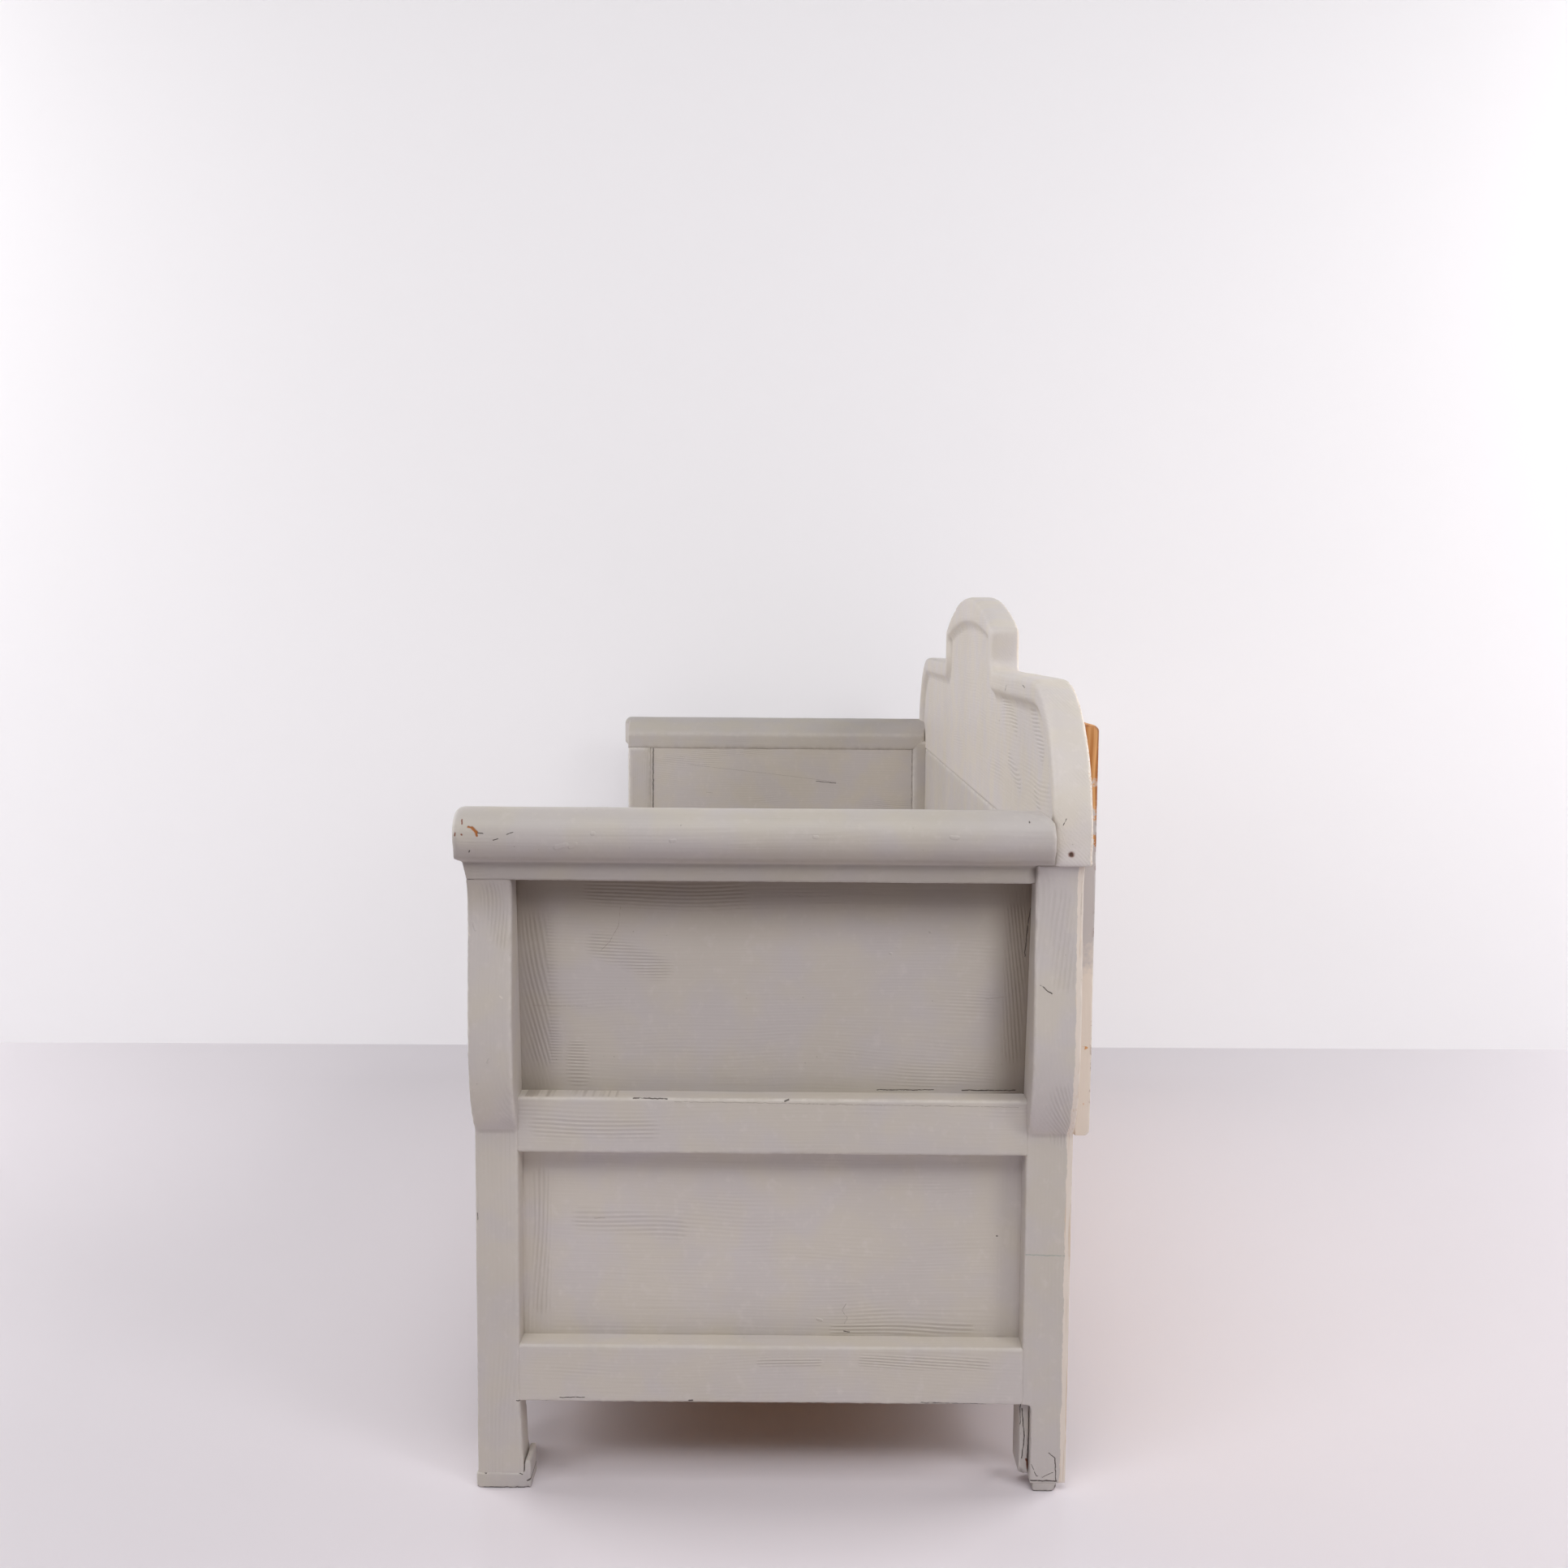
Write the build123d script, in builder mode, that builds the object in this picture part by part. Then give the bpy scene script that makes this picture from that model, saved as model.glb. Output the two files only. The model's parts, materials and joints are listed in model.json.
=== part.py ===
from build123d import *
import os

# Swedish pull-out bench bed in painted pine: two framed ends with rolled arms, an arched
# back, a hinged seat lid, and under it a bed frame that pulls out of the front on its own
# legs. Its slats run between the fixed slats, so the lying surface grows as it comes out.
# Millimetres, +Z up, length along X, the front faces -Y, the origin is on the floor under
# the middle of the whole piece. Pieces of the right end (+X) are built, then mirrored.

# ---- Overall sizes
length_over_legs = 1720.0
depth_over_legs = 625.0
arm_front_overhang = 9.5
back_rear_out = 7.0
batten_thickness = 17.5

# ---- End frames: stiles with the legs in one piece, rails, panels
leg_thickness = 40.0
front_stile_width = 46.0
rear_stile_width = 49.0
front_leg_flare = 4.0
rear_leg_cut = 10.5
lower_rail_bottom = 95.0
lower_rail_width = 63.0
mid_rail_top = 425.0
mid_rail_width = 60.0
crease_drop = 36.0
kick_outward = 36.0
kick_rise = 111.0
waist_outward = 29.0
waist_drop = 45.0
joint_outward = 35.0
joint_outer_drop = 78.0
joint_inner_drop = 63.0
kick_direction = (0.75, 0.66)
waist_direction = (0.4, 0.92)
lip_direction = (0.86, 0.5)
lower_panel_inset = 1.0
lower_panel_thickness = 10.0
upper_panel_lean = 32.0
upper_panel_thickness = 12.0
arris = 1.2

# ---- Rolled arm
arm_height = 735.0
roll_diameter = 59.0
roll_outward = 60.5
roll_lip_inset = 10.5
roll_lip_depth = 5.0
arm_inner_drop = 33.0
arm_end_rounding = 8.0
worn_end_length = 44.0
worn_end_drop = 34.0

# ---- Feet
front_pad_height = 17.0
front_pad_margin = 1.0
front_pad_upstand = 31.0
front_pad_upstand_thickness = 7.0
rear_pad_height = 12.0
rear_pad_depth = 26.0
rear_pad_inset = 9.5
rear_pad_side_inset = 1.0
pad_rounding = 3.0
corner_block_depth = 18.0
corner_block_foot = 14.0
corner_block_inset = 10.0

# ---- Back
back_board_thickness = 31.5
arm_notch_floor = 4.0
lower_back_drop = 50.0
crest_end_overhang = 40.0
crest_end_rise = 24.0
crest_end_length = 190.0
shoulder_rise = 160.0
riser_rise = 55.0
riser_spacing = 644.0
arch_rise = 48.0
riser_cove = 16.0
riser_corner = 7.0
band_width = 31.0
band_arch_width = 41.0
band_relief = 8.0
band_rounding = 5.0
band_slope = 6.0
batten_width = 70.0
batten_top_drop = 45.0
batten_rounding = 7.0
nail_head_radius = 5.0
nail_head_height = 2.0
nail_shank_radius = 2.0
nail_clearance = 0.1
nails_in_batten = 6
nail_end_distance = 36.0

# ---- Box under the seat
rear_rail_thickness = 30.0
box_back_thickness = 20.0
ledger_width = 22.0
ledger_height = 22.0
cross_rail_width = 28.0
cross_rail_height = 40.0
cross_rail_setback = 30.0
runner_width = 15.0
runner_height = 22.0
slat_drop = 18.0
slat_thickness = 16.0
slat_pairs = 12
slat_gap = 8.0
slat_side_margin = 6.0
running_gap = 0.3
notch_clearance = 2.0

# ---- Pull-out bed frame
front_side_gap = 2.5
front_thickness = 28.0
front_stile_wide = 57.5
front_top_gap = 2.0
muntin_width = 60.0
front_panels = 3
front_panel_thickness = 12.0
front_panel_recess = 10.0
bed_leg_clearance = 2.0
side_board_thickness = 20.0
side_board_clearance = 5.0
crossbar_width = 30.0
crossbar_overlap = 5.5
rear_clearance = 30.0

# ---- Seat
seat_thickness = 20.0
seat_rail_width = 24.5
seat_rail_height = 40.0
seat_cleat_width = 25.0
seat_cleat_height = 25.0
lid_side_gap = 3.0
lid_front_setback = 2.0
lid_nose_rounding = 8.0
lid_joint_gap = 2.0
fixed_seat_depth = 63.5
lid_cleat_width = 60.0
lid_cleat_thickness = 22.0
lid_cleat_spacing = 560.0
lid_cleat_count = 3
lid_cleat_front_inset = 58.0
lid_cleat_rear_inset = 26.0
hinge_spacing = 590.0
hinge_width = 60.0
hinge_knuckles = 3
hinge_leaf_length = 34.0
hinge_leaf_thickness = 2.0
knuckle_radius = 4.5
knuckle_gap = 0.4
pin_radius = 2.4
pin_clearance = 0.06

# ---- Planes that follow from the sizes
x_leg_out = length_over_legs / 2
x_leg_in = x_leg_out - leg_thickness
rear_projection = back_rear_out + batten_thickness + nail_head_height
total_depth = arm_front_overhang + depth_over_legs + rear_projection
y_front = arm_front_overhang - total_depth / 2
y_rear = y_front + depth_over_legs
y_back_rear = y_rear + back_rear_out
y_back_face = y_back_rear - back_board_thickness
y_band_face = y_back_face - band_relief
y_stile_front_in = y_front + front_stile_width
y_stile_rear_in = y_rear - rear_stile_width
roll_radius = roll_diameter / 2
roll_centre_x = x_leg_out + roll_outward - roll_radius
roll_centre_z = arm_height - roll_radius
seat_top = mid_rail_top + seat_thickness
lower_rail_top = lower_rail_bottom + lower_rail_width
mid_rail_bottom = mid_rail_top - mid_rail_width
slat_level = lower_rail_top - slat_drop
side_board_top = mid_rail_top - seat_cleat_height - side_board_clearance
crease_height = mid_rail_top - crease_drop
arm_joint_outer = arm_height - joint_outer_drop
arm_joint_inner = arm_height - joint_inner_drop
arm_inner_height = arm_height - arm_inner_drop
roll_lip_x = x_leg_out + roll_outward - roll_lip_inset
lower_back_bottom = mid_rail_top - lower_back_drop
board_joint_height = arm_joint_inner + arm_notch_floor
crest_end_height = board_joint_height + crest_end_rise
shoulder_height = crest_end_height + shoulder_rise
riser_height = shoulder_height + riser_rise
peak_height = riser_height + arch_rise
batten_top = shoulder_height - batten_top_drop
y_front_inner = y_front + front_thickness
y_cross_front = y_front_inner + cross_rail_setback
y_rear_rail = y_rear - rear_rail_thickness
y_seat_joint = y_back_face - fixed_seat_depth

os.makedirs("parts", exist_ok=True)


def save(piece, name):
    """Label a finished piece and write its STEP file."""
    piece.part.label = name
    export_step(piece.part, f"parts/{name}.step")


def save_pair(piece, name):
    """Write a piece of the right end and its mirror image at the left end."""
    save(piece, f"right_{name}")
    with BuildPart() as mirrored:
        mirror(piece.part, about=Plane.YZ)
    save(mirrored, f"left_{name}")


def board(x_limits, y_limits, z_limits, easing=arris):
    """A planed board between three pairs of limits, with its edges eased."""
    x_low, x_high = x_limits
    y_low, y_high = y_limits
    z_low, z_high = z_limits
    with BuildPart() as plank:
        with BuildSketch(Plane.XY.offset(z_low)):
            with Locations(((x_low + x_high) / 2, (y_low + y_high) / 2)):
                Rectangle(x_high - x_low, y_high - y_low)
        extrude(amount=z_high - z_low)
        fillet(plank.edges(), easing)
    return plank


# ---- End frames: stiles
def end_stile(y_low, y_high, side_outline):
    """A stile with its leg: the kicked-out face is cut first, then its side outline."""
    bottom = side_outline[0][1]
    with BuildPart() as stile:
        with BuildSketch(Plane.XZ.offset(-y_high)):
            with BuildLine():
                Polyline(
                    (x_leg_out + joint_outward, arm_joint_outer),
                    (x_leg_in, arm_joint_inner),
                    (x_leg_in, bottom),
                    (x_leg_out, bottom),
                    (x_leg_out, crease_height),
                )
                Spline(
                    (x_leg_out, crease_height),
                    (x_leg_out + kick_outward, crease_height + kick_rise),
                    (x_leg_out + waist_outward, arm_joint_outer - waist_drop),
                    (x_leg_out + joint_outward, arm_joint_outer),
                    tangents=(kick_direction, waist_direction),
                )
            make_face()
        extrude(amount=y_high - y_low)
        with BuildSketch(Plane.YZ.offset(x_leg_in)):
            with BuildLine():
                Polyline(*side_outline, close=True)
            make_face()
        extrude(amount=leg_thickness + kick_outward + joint_outward, mode=Mode.INTERSECT)
    return stile


front_leg_in = y_stile_front_in + front_leg_flare
front_stile = end_stile(
    y_front,
    front_leg_in,
    [
        (y_front, front_pad_height),
        (front_leg_in, front_pad_height),
        (y_stile_front_in, lower_rail_bottom),
        (y_stile_front_in, arm_height),
        (y_front, arm_height),
    ],
)
save_pair(front_stile, "front_stile")

rear_leg_front = y_stile_rear_in + rear_leg_cut
rear_stile = end_stile(
    y_stile_rear_in,
    y_rear,
    [
        (rear_leg_front, rear_pad_height),
        (y_rear, rear_pad_height),
        (y_rear, arm_height),
        (y_stile_rear_in, arm_height),
        (y_stile_rear_in, lower_rail_bottom),
        (rear_leg_front, lower_rail_bottom),
    ],
)
save_pair(rear_stile, "rear_stile")

# ---- End frames: rails and panels
rail_x = (x_leg_in, x_leg_out)
between_stiles = (y_stile_front_in, y_stile_rear_in)
lower_rail = board(rail_x, between_stiles, (lower_rail_bottom, lower_rail_top))
save_pair(lower_rail, "lower_rail")
mid_rail = board(rail_x, between_stiles, (mid_rail_bottom, mid_rail_top))
save_pair(mid_rail, "mid_rail")

x_lower_panel = x_leg_in + lower_panel_inset
lower_panel = board(
    (x_lower_panel, x_lower_panel + lower_panel_thickness),
    between_stiles,
    (lower_rail_top, mid_rail_bottom),
    easing=arris / 2,
)
save_pair(lower_panel, "lower_panel")

# The upper panel leans outward to the arm, and its top edge follows the sloped joint.
x_upper_foot = x_leg_in + upper_panel_thickness
joint_slope = (arm_joint_inner - arm_joint_outer) / (leg_thickness + joint_outward)
x_joint_out = x_leg_out + joint_outward
x_upper_head = x_upper_foot + upper_panel_lean
x_upper_head_in = x_upper_head - upper_panel_thickness
with BuildPart() as upper_panel:
    with BuildSketch(Plane.XZ.offset(-y_stile_rear_in)):
        with BuildLine():
            Polyline(
                (x_upper_foot, mid_rail_top),
                (x_upper_head, arm_joint_outer + (x_joint_out - x_upper_head) * joint_slope),
                (x_upper_head_in, arm_joint_outer + (x_joint_out - x_upper_head_in) * joint_slope),
                (x_leg_in, mid_rail_top),
                close=True,
            )
        make_face()
    extrude(amount=y_stile_rear_in - y_stile_front_in)
save_pair(upper_panel, "upper_panel")


# ---- Rolled arms
def arm():
    """The arm rail: roll, cove, crowned top, and a notch at the rear for the back."""
    roll_underside = roll_centre_z - (roll_radius**2 - (roll_lip_x - roll_centre_x) ** 2) ** 0.5
    lip_height = roll_underside - roll_lip_depth
    with BuildPart() as rail:
        with BuildSketch(Plane.XZ.offset(-y_rear)):
            with BuildLine():
                Polyline(
                    (x_leg_in, arm_inner_height),
                    (x_leg_in, arm_joint_inner),
                    (x_joint_out, arm_joint_outer),
                )
                Spline(
                    (x_joint_out, arm_joint_outer),
                    (roll_lip_x, lip_height),
                    tangents=(waist_direction, lip_direction),
                )
                Line(
                    (roll_lip_x, lip_height),
                    (roll_lip_x, roll_underside),
                )
                ThreePointArc(
                    (roll_lip_x, roll_underside),
                    (roll_centre_x + roll_radius, roll_centre_z),
                    (roll_centre_x, arm_height),
                )
                TangentArc(
                    (roll_centre_x, arm_height),
                    (x_leg_in, arm_inner_height),
                    tangent=(-1, 0),
                )
            make_face()
        extrude(amount=depth_over_legs + arm_front_overhang)
        with BuildSketch(Plane.YZ.offset(x_leg_in)):
            with BuildLine():
                Polyline(
                    (y_rear, board_joint_height),
                    (y_rear, arm_height),
                    (y_band_face, arm_height),
                    (y_band_face, board_joint_height),
                    close=True,
                )
            make_face()
        extrude(amount=leg_thickness + roll_outward, mode=Mode.SUBTRACT)
        end_face = rail.faces().sort_by(Axis.Y)[0]
        roll_edges = end_face.edges().filter_by(GeomType.CIRCLE)
        fillet(roll_edges, arm_end_rounding)
    return rail


plain_arm = arm()
with BuildPart() as left_arm:
    mirror(plain_arm.part, about=Plane.YZ)
save(left_arm, "left_arm_rail")

# The right roll is rounded over where it meets the back.
with BuildPart() as right_arm:
    add(plain_arm.part)
    with BuildSketch(Plane.YZ.offset(x_leg_in)):
        with BuildLine():
            EllipticalCenterArc(
                (y_band_face - worn_end_length, arm_height - worn_end_drop),
                worn_end_length,
                worn_end_drop,
                start_angle=0,
                arc_size=90,
            )
            Polyline(
                (y_band_face - worn_end_length, arm_height),
                (y_band_face - worn_end_length, arm_height + worn_end_drop),
                (y_rear, arm_height + worn_end_drop),
                (y_rear, arm_height - worn_end_drop),
                (y_band_face, arm_height - worn_end_drop),
            )
        make_face()
    extrude(amount=leg_thickness + roll_outward, mode=Mode.SUBTRACT)
save(right_arm, "right_arm_rail")

# ---- Feet: a shoe round the front leg, a small pad under the rear leg, a corner block
y_upstand = front_leg_in + front_pad_upstand_thickness
with BuildPart() as front_shoe:
    with BuildSketch(Plane.YZ.offset(x_leg_in - front_pad_margin)):
        with BuildLine():
            Polyline(
                (y_front - front_pad_margin, 0),
                (y_upstand, 0),
                (y_upstand, front_pad_upstand),
                (front_leg_in, front_pad_upstand),
                (front_leg_in, front_pad_height),
                (y_front - front_pad_margin, front_pad_height),
                close=True,
            )
        make_face()
    extrude(amount=leg_thickness + 2 * front_pad_margin)
    fillet(front_shoe.edges().filter_by(Axis.X).group_by(Axis.Z)[-1], pad_rounding)
save_pair(front_shoe, "front_foot_shoe")

rear_pad_rear = y_rear - rear_pad_inset
rear_pad = board(
    (x_leg_in, x_leg_out - rear_pad_side_inset),
    (rear_pad_rear - rear_pad_depth, rear_pad_rear),
    (0, rear_pad_height),
    easing=pad_rounding / 2,
)
save_pair(rear_pad, "rear_foot_pad")

# The block glued in the corner behind the rear leg fills the step of the stile above it.
x_block_in = x_leg_in - corner_block_depth
with BuildPart() as corner_block:
    with BuildSketch(Plane.XY.offset(corner_block_foot)):
        with BuildLine():
            Polyline(
                (x_block_in, y_stile_rear_in),
                (x_leg_out - corner_block_inset, y_stile_rear_in),
                (x_leg_out - corner_block_inset, rear_leg_front),
                (x_leg_in, rear_leg_front),
                (x_leg_in, y_rear_rail),
                (x_block_in, y_rear_rail),
                close=True,
            )
        make_face()
    extrude(amount=lower_rail_bottom - corner_block_foot)
save_pair(corner_block, "rear_corner_block")


# ---- Back: crest board with its raised band
def crest_outline(bottom, inset, arch_inset):
    """The arched outline of the back, or the line inside its band when it is inset."""
    end_x = x_leg_out + crest_end_overhang - inset
    arc_x = x_leg_out + crest_end_overhang - crest_end_length
    arc_radii = (crest_end_length - inset, shoulder_height - crest_end_height - inset)
    shoulder = shoulder_height - inset
    riser_x = riser_spacing / 2 - inset
    riser_top = riser_height - inset / 2
    with BuildSketch() as outline:
        with BuildLine():
            Polyline((-riser_x, riser_top), (-riser_x, shoulder), (-arc_x, shoulder))
            EllipticalCenterArc((-arc_x, crest_end_height), *arc_radii, start_angle=90)
            Polyline(
                (-end_x, crest_end_height),
                (-end_x, bottom),
                (end_x, bottom),
                (end_x, crest_end_height),
            )
            EllipticalCenterArc((arc_x, crest_end_height), *arc_radii, start_angle=0)
            Polyline((arc_x, shoulder), (riser_x, shoulder), (riser_x, riser_top))
            ThreePointArc(
                (riser_x, riser_top),
                (0, peak_height - arch_inset),
                (-riser_x, riser_top),
            )
        make_face()
        riser_vertices = outline.vertices().filter_by(lambda v: abs(abs(v.X) - riser_x) < arris)
        fillet(riser_vertices.group_by(Axis.Y)[0], riser_cove + inset)
        riser_vertices = outline.vertices().filter_by(lambda v: abs(abs(v.X) - riser_x) < arris)
        fillet(riser_vertices.group_by(Axis.Y)[-1], riser_corner)
    return outline.sketch


def above_board_joint(edges):
    """The edges that don't lie along the joint with the board below."""
    return edges.filter_by(lambda edge: edge.center().Z > board_joint_height + arris)


with BuildPart() as crest_board:
    with BuildSketch(Plane.XZ.offset(-y_back_rear)):
        add(crest_outline(board_joint_height, 0, 0))
    extrude(amount=back_board_thickness + band_relief)
    band_front = crest_board.faces().sort_by(Axis.Y)[0]
    fillet(above_board_joint(band_front.edges()), band_rounding)
    with BuildSketch(Plane.XZ.offset(-y_back_face)):
        add(crest_outline(board_joint_height, band_width, band_arch_width))
    extrude(amount=band_relief, mode=Mode.SUBTRACT)
    band_rim = crest_board.edges(Select.LAST).group_by(Axis.Y)[0]
    chamfer(above_board_joint(band_rim), band_slope)
save(crest_board, "back_crest_board")

# ---- Back: lower board, battens with their nails, rails and boards of the box
between_ends = (-x_leg_in, x_leg_in)
lower_back_y = (y_back_face, y_back_rear)
lower_back = board(between_ends, lower_back_y, (lower_back_bottom, board_joint_height))
save(lower_back, "back_lower_board")

batten_height = batten_top - lower_back_bottom
nail_pitch = (batten_height - 2 * nail_end_distance) / (nails_in_batten - 1)
batten_middle_z = (batten_top + lower_back_bottom) / 2
batten_places = {
    "left": -x_leg_in + batten_width / 2,
    "middle": 0,
    "right": x_leg_in - batten_width / 2,
}
batten_face = Plane.XZ.offset(-y_back_rear - batten_thickness)
for place, batten_x in batten_places.items():
    with BuildPart() as batten:
        with BuildSketch(batten_face):
            with Locations((batten_x, batten_middle_z)):
                Rectangle(batten_width, batten_height)
        extrude(amount=batten_thickness)
        rear_face = batten.faces().sort_by(Axis.Y)[-1]
        fillet(rear_face.edges().filter_by(Axis.X), batten_rounding)
        with BuildSketch(batten_face):
            with Locations((batten_x, batten_middle_z)):
                with GridLocations(0, nail_pitch, 1, nails_in_batten):
                    Circle(nail_shank_radius + nail_clearance)
        extrude(amount=batten_thickness, mode=Mode.SUBTRACT)
    save(batten, f"back_batten_{place}")

with BuildPart() as batten_nails:
    with BuildSketch(batten_face):
        for batten_x in batten_places.values():
            with Locations((batten_x, batten_middle_z)):
                with GridLocations(0, nail_pitch, 1, nails_in_batten):
                    Circle(nail_shank_radius)
    extrude(amount=batten_thickness)
    with BuildSketch(batten_face):
        for batten_x in batten_places.values():
            with Locations((batten_x, batten_middle_z)):
                with GridLocations(0, nail_pitch, 1, nails_in_batten):
                    Circle(nail_head_radius)
    extrude(amount=-nail_head_height)
save(batten_nails, "batten_nails")

rear_rail = board(between_ends, (y_rear_rail, y_rear), (lower_rail_bottom, lower_rail_top))
save(rear_rail, "rear_bottom_rail")
box_back_y = (y_rear - box_back_thickness, y_rear)
box_back = board(between_ends, box_back_y, (lower_rail_top, lower_back_bottom))
save(box_back, "box_back_board")
seat_rail_y = (y_back_face - seat_rail_width, y_back_face)
seat_rail = board(between_ends, seat_rail_y, (mid_rail_top - seat_rail_height, mid_rail_top))
save(seat_rail, "seat_back_rail")

# ---- Base of the bed: cross rail, ledger, runners, fixed slats
cross_rail = board(
    between_ends,
    (y_cross_front, y_cross_front + cross_rail_width),
    (slat_level - cross_rail_height, slat_level),
)
save(cross_rail, "front_cross_rail")
rear_ledger_z = (slat_level - ledger_height, slat_level)
rear_ledger = board(between_ends, (y_rear_rail - ledger_width, y_rear_rail), rear_ledger_z)
save(rear_ledger, "rear_ledger")

y_cross_rear = y_cross_front + cross_rail_width
y_ledger_front = y_rear_rail - ledger_width
runner = board(
    (x_leg_in - runner_width, x_leg_in),
    (y_cross_rear, y_ledger_front),
    (slat_level - runner_height, slat_level),
)
save_pair(runner, "bed_runner")

side_board_x = x_leg_in - front_side_gap
slat_span = 2 * (side_board_x - side_board_thickness - slat_side_margin)
slat_width = (slat_span + slat_gap) / (2 * slat_pairs) - slat_gap
slat_pitch = slat_width + slat_gap
first_slat_x = (slat_width - slat_span) / 2


def slats(first, y_low, y_high, level):
    """Every second slat across the bed, starting with the one numbered first."""
    with BuildPart() as group:
        with BuildSketch(Plane.XY.offset(level)):
            for number in range(first, 2 * slat_pairs, 2):
                with Locations((first_slat_x + number * slat_pitch, (y_low + y_high) / 2)):
                    Rectangle(slat_width, y_high - y_low)
        extrude(amount=slat_thickness)
        fillet(group.edges().filter_by(Axis.Y), arris)
    return group


save(slats(0, y_cross_front, y_rear_rail, slat_level), "fixed_slats")

# ---- Pull-out bed: the framed front, whose end stiles run down as its legs
front_y = (y_front, y_front_inner)
front_top = mid_rail_top - front_top_gap
x_front_end = side_board_x
x_front_inner = x_front_end - front_stile_wide
front_end_stile = board((x_front_inner, x_front_end), front_y, (bed_leg_clearance, front_top))
save_pair(front_end_stile, "bed_front_stile")
front_rail_x = (-x_front_inner, x_front_inner)
front_top_rail = board(front_rail_x, front_y, (mid_rail_bottom, front_top))
save(front_top_rail, "bed_front_top_rail")
front_bottom_rail = board(front_rail_x, front_y, (lower_rail_bottom, lower_rail_top))
save(front_bottom_rail, "bed_front_bottom_rail")

front_open = 2 * x_front_inner - (front_panels - 1) * muntin_width
front_panel_width = front_open / front_panels
front_pitch = front_panel_width + muntin_width
y_front_panel = y_front + front_panel_recess
for number in range(front_panels):
    panel_low = -x_front_inner + number * front_pitch
    panel_high = panel_low + front_panel_width
    front_panel = board(
        (panel_low, panel_high),
        (y_front_panel, y_front_panel + front_panel_thickness),
        (lower_rail_top, mid_rail_bottom),
        easing=arris / 2,
    )
    save(front_panel, f"bed_front_panel_{number + 1}")
    if number < front_panels - 1:
        muntin_x = (panel_high, panel_high + muntin_width)
        muntin = board(muntin_x, front_y, (lower_rail_top, mid_rail_bottom))
        save(muntin, f"bed_front_muntin_{number + 1}")

# ---- Pull-out bed: ledger, side boards, notched rear crossbar, sliding slats
bed_level = slat_level + running_gap
front_ledger = board(
    front_rail_x,
    (y_front_inner, y_front_inner + ledger_width),
    (bed_level - ledger_height, bed_level),
)
save(front_ledger, "bed_front_ledger")

y_bed_rear = y_back_face - seat_rail_width - rear_clearance
side_board = board(
    (side_board_x - side_board_thickness, side_board_x),
    (y_front_inner, y_bed_rear),
    (bed_level, side_board_top),
)
save_pair(side_board, "bed_side_board")

x_crossbar = side_board_x - side_board_thickness + crossbar_overlap
with BuildPart() as crossbar:
    with BuildSketch(Plane.XY.offset(bed_level)):
        with Locations((0, y_bed_rear - crossbar_width / 2)):
            Rectangle(2 * x_crossbar, crossbar_width)
    extrude(amount=-ledger_height)
    with BuildSketch(Plane.XY.offset(bed_level)):
        for number in range(0, 2 * slat_pairs, 2):
            notch_x = first_slat_x + number * slat_pitch
            with Locations((notch_x, y_bed_rear - crossbar_width / 2)):
                Rectangle(slat_width + slat_gap, crossbar_width)
    extrude(amount=-notch_clearance, mode=Mode.SUBTRACT)
save(crossbar, "bed_rear_crossbar")

save(slats(1, y_front_inner, y_bed_rear, bed_level), "sliding_slats")

# ---- Seat: cleats on the ends, fixed rear board, hinged lid of two planks on cleats
seat_cleat = board(
    (x_leg_in - seat_cleat_width, x_leg_in),
    (y_front_inner + lid_front_setback, y_back_face - seat_rail_width),
    (mid_rail_top - seat_cleat_height, mid_rail_top),
)
save_pair(seat_cleat, "seat_cleat")
fixed_seat = board(between_ends, (y_seat_joint, y_back_face), (mid_rail_top, seat_top))
save(fixed_seat, "rear_seat_board")

lid_x = (lid_side_gap - x_leg_in, x_leg_in - lid_side_gap)
lid_front = y_front + lid_front_setback
lid_rear = y_seat_joint - lid_joint_gap
lid_middle = (lid_front + lid_rear) / 2
lid_z = (mid_rail_top + running_gap, seat_top)
with BuildPart() as front_plank:
    with BuildSketch(Plane.YZ.offset(lid_x[0])):
        with Locations(((lid_front + lid_middle) / 2, (lid_z[0] + lid_z[1]) / 2)):
            Rectangle(lid_middle - lid_front, lid_z[1] - lid_z[0])
    extrude(amount=lid_x[1] - lid_x[0])
    nose = front_plank.edges().filter_by(Axis.X).group_by(Axis.Y)[0]
    fillet(nose, lid_nose_rounding)
save(front_plank, "lid_front_plank")
save(board(lid_x, (lid_middle, lid_rear), lid_z), "lid_rear_plank")

lid_cleat_y = (lid_front + lid_cleat_front_inset, lid_rear - lid_cleat_rear_inset)
with BuildPart() as lid_cleats:
    with BuildSketch(Plane.XY.offset(lid_z[0])):
        with Locations((0, (lid_cleat_y[0] + lid_cleat_y[1]) / 2)):
            with GridLocations(lid_cleat_spacing, 0, lid_cleat_count, 1):
                Rectangle(lid_cleat_width, lid_cleat_y[1] - lid_cleat_y[0])
    extrude(amount=-lid_cleat_thickness)
save(lid_cleats, "lid_cleats")

# ---- Hinges: leaves laid on the boards, knuckles standing on the joint, pins through them
hinge_y = (y_seat_joint + lid_rear) / 2
hinge_z = seat_top + running_gap + knuckle_radius
knuckle_length = (hinge_width - (hinge_knuckles - 1) * knuckle_gap) / hinge_knuckles
knuckle_pitch = knuckle_length + knuckle_gap
hinge_places = [-hinge_spacing, 0, hinge_spacing]


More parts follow.
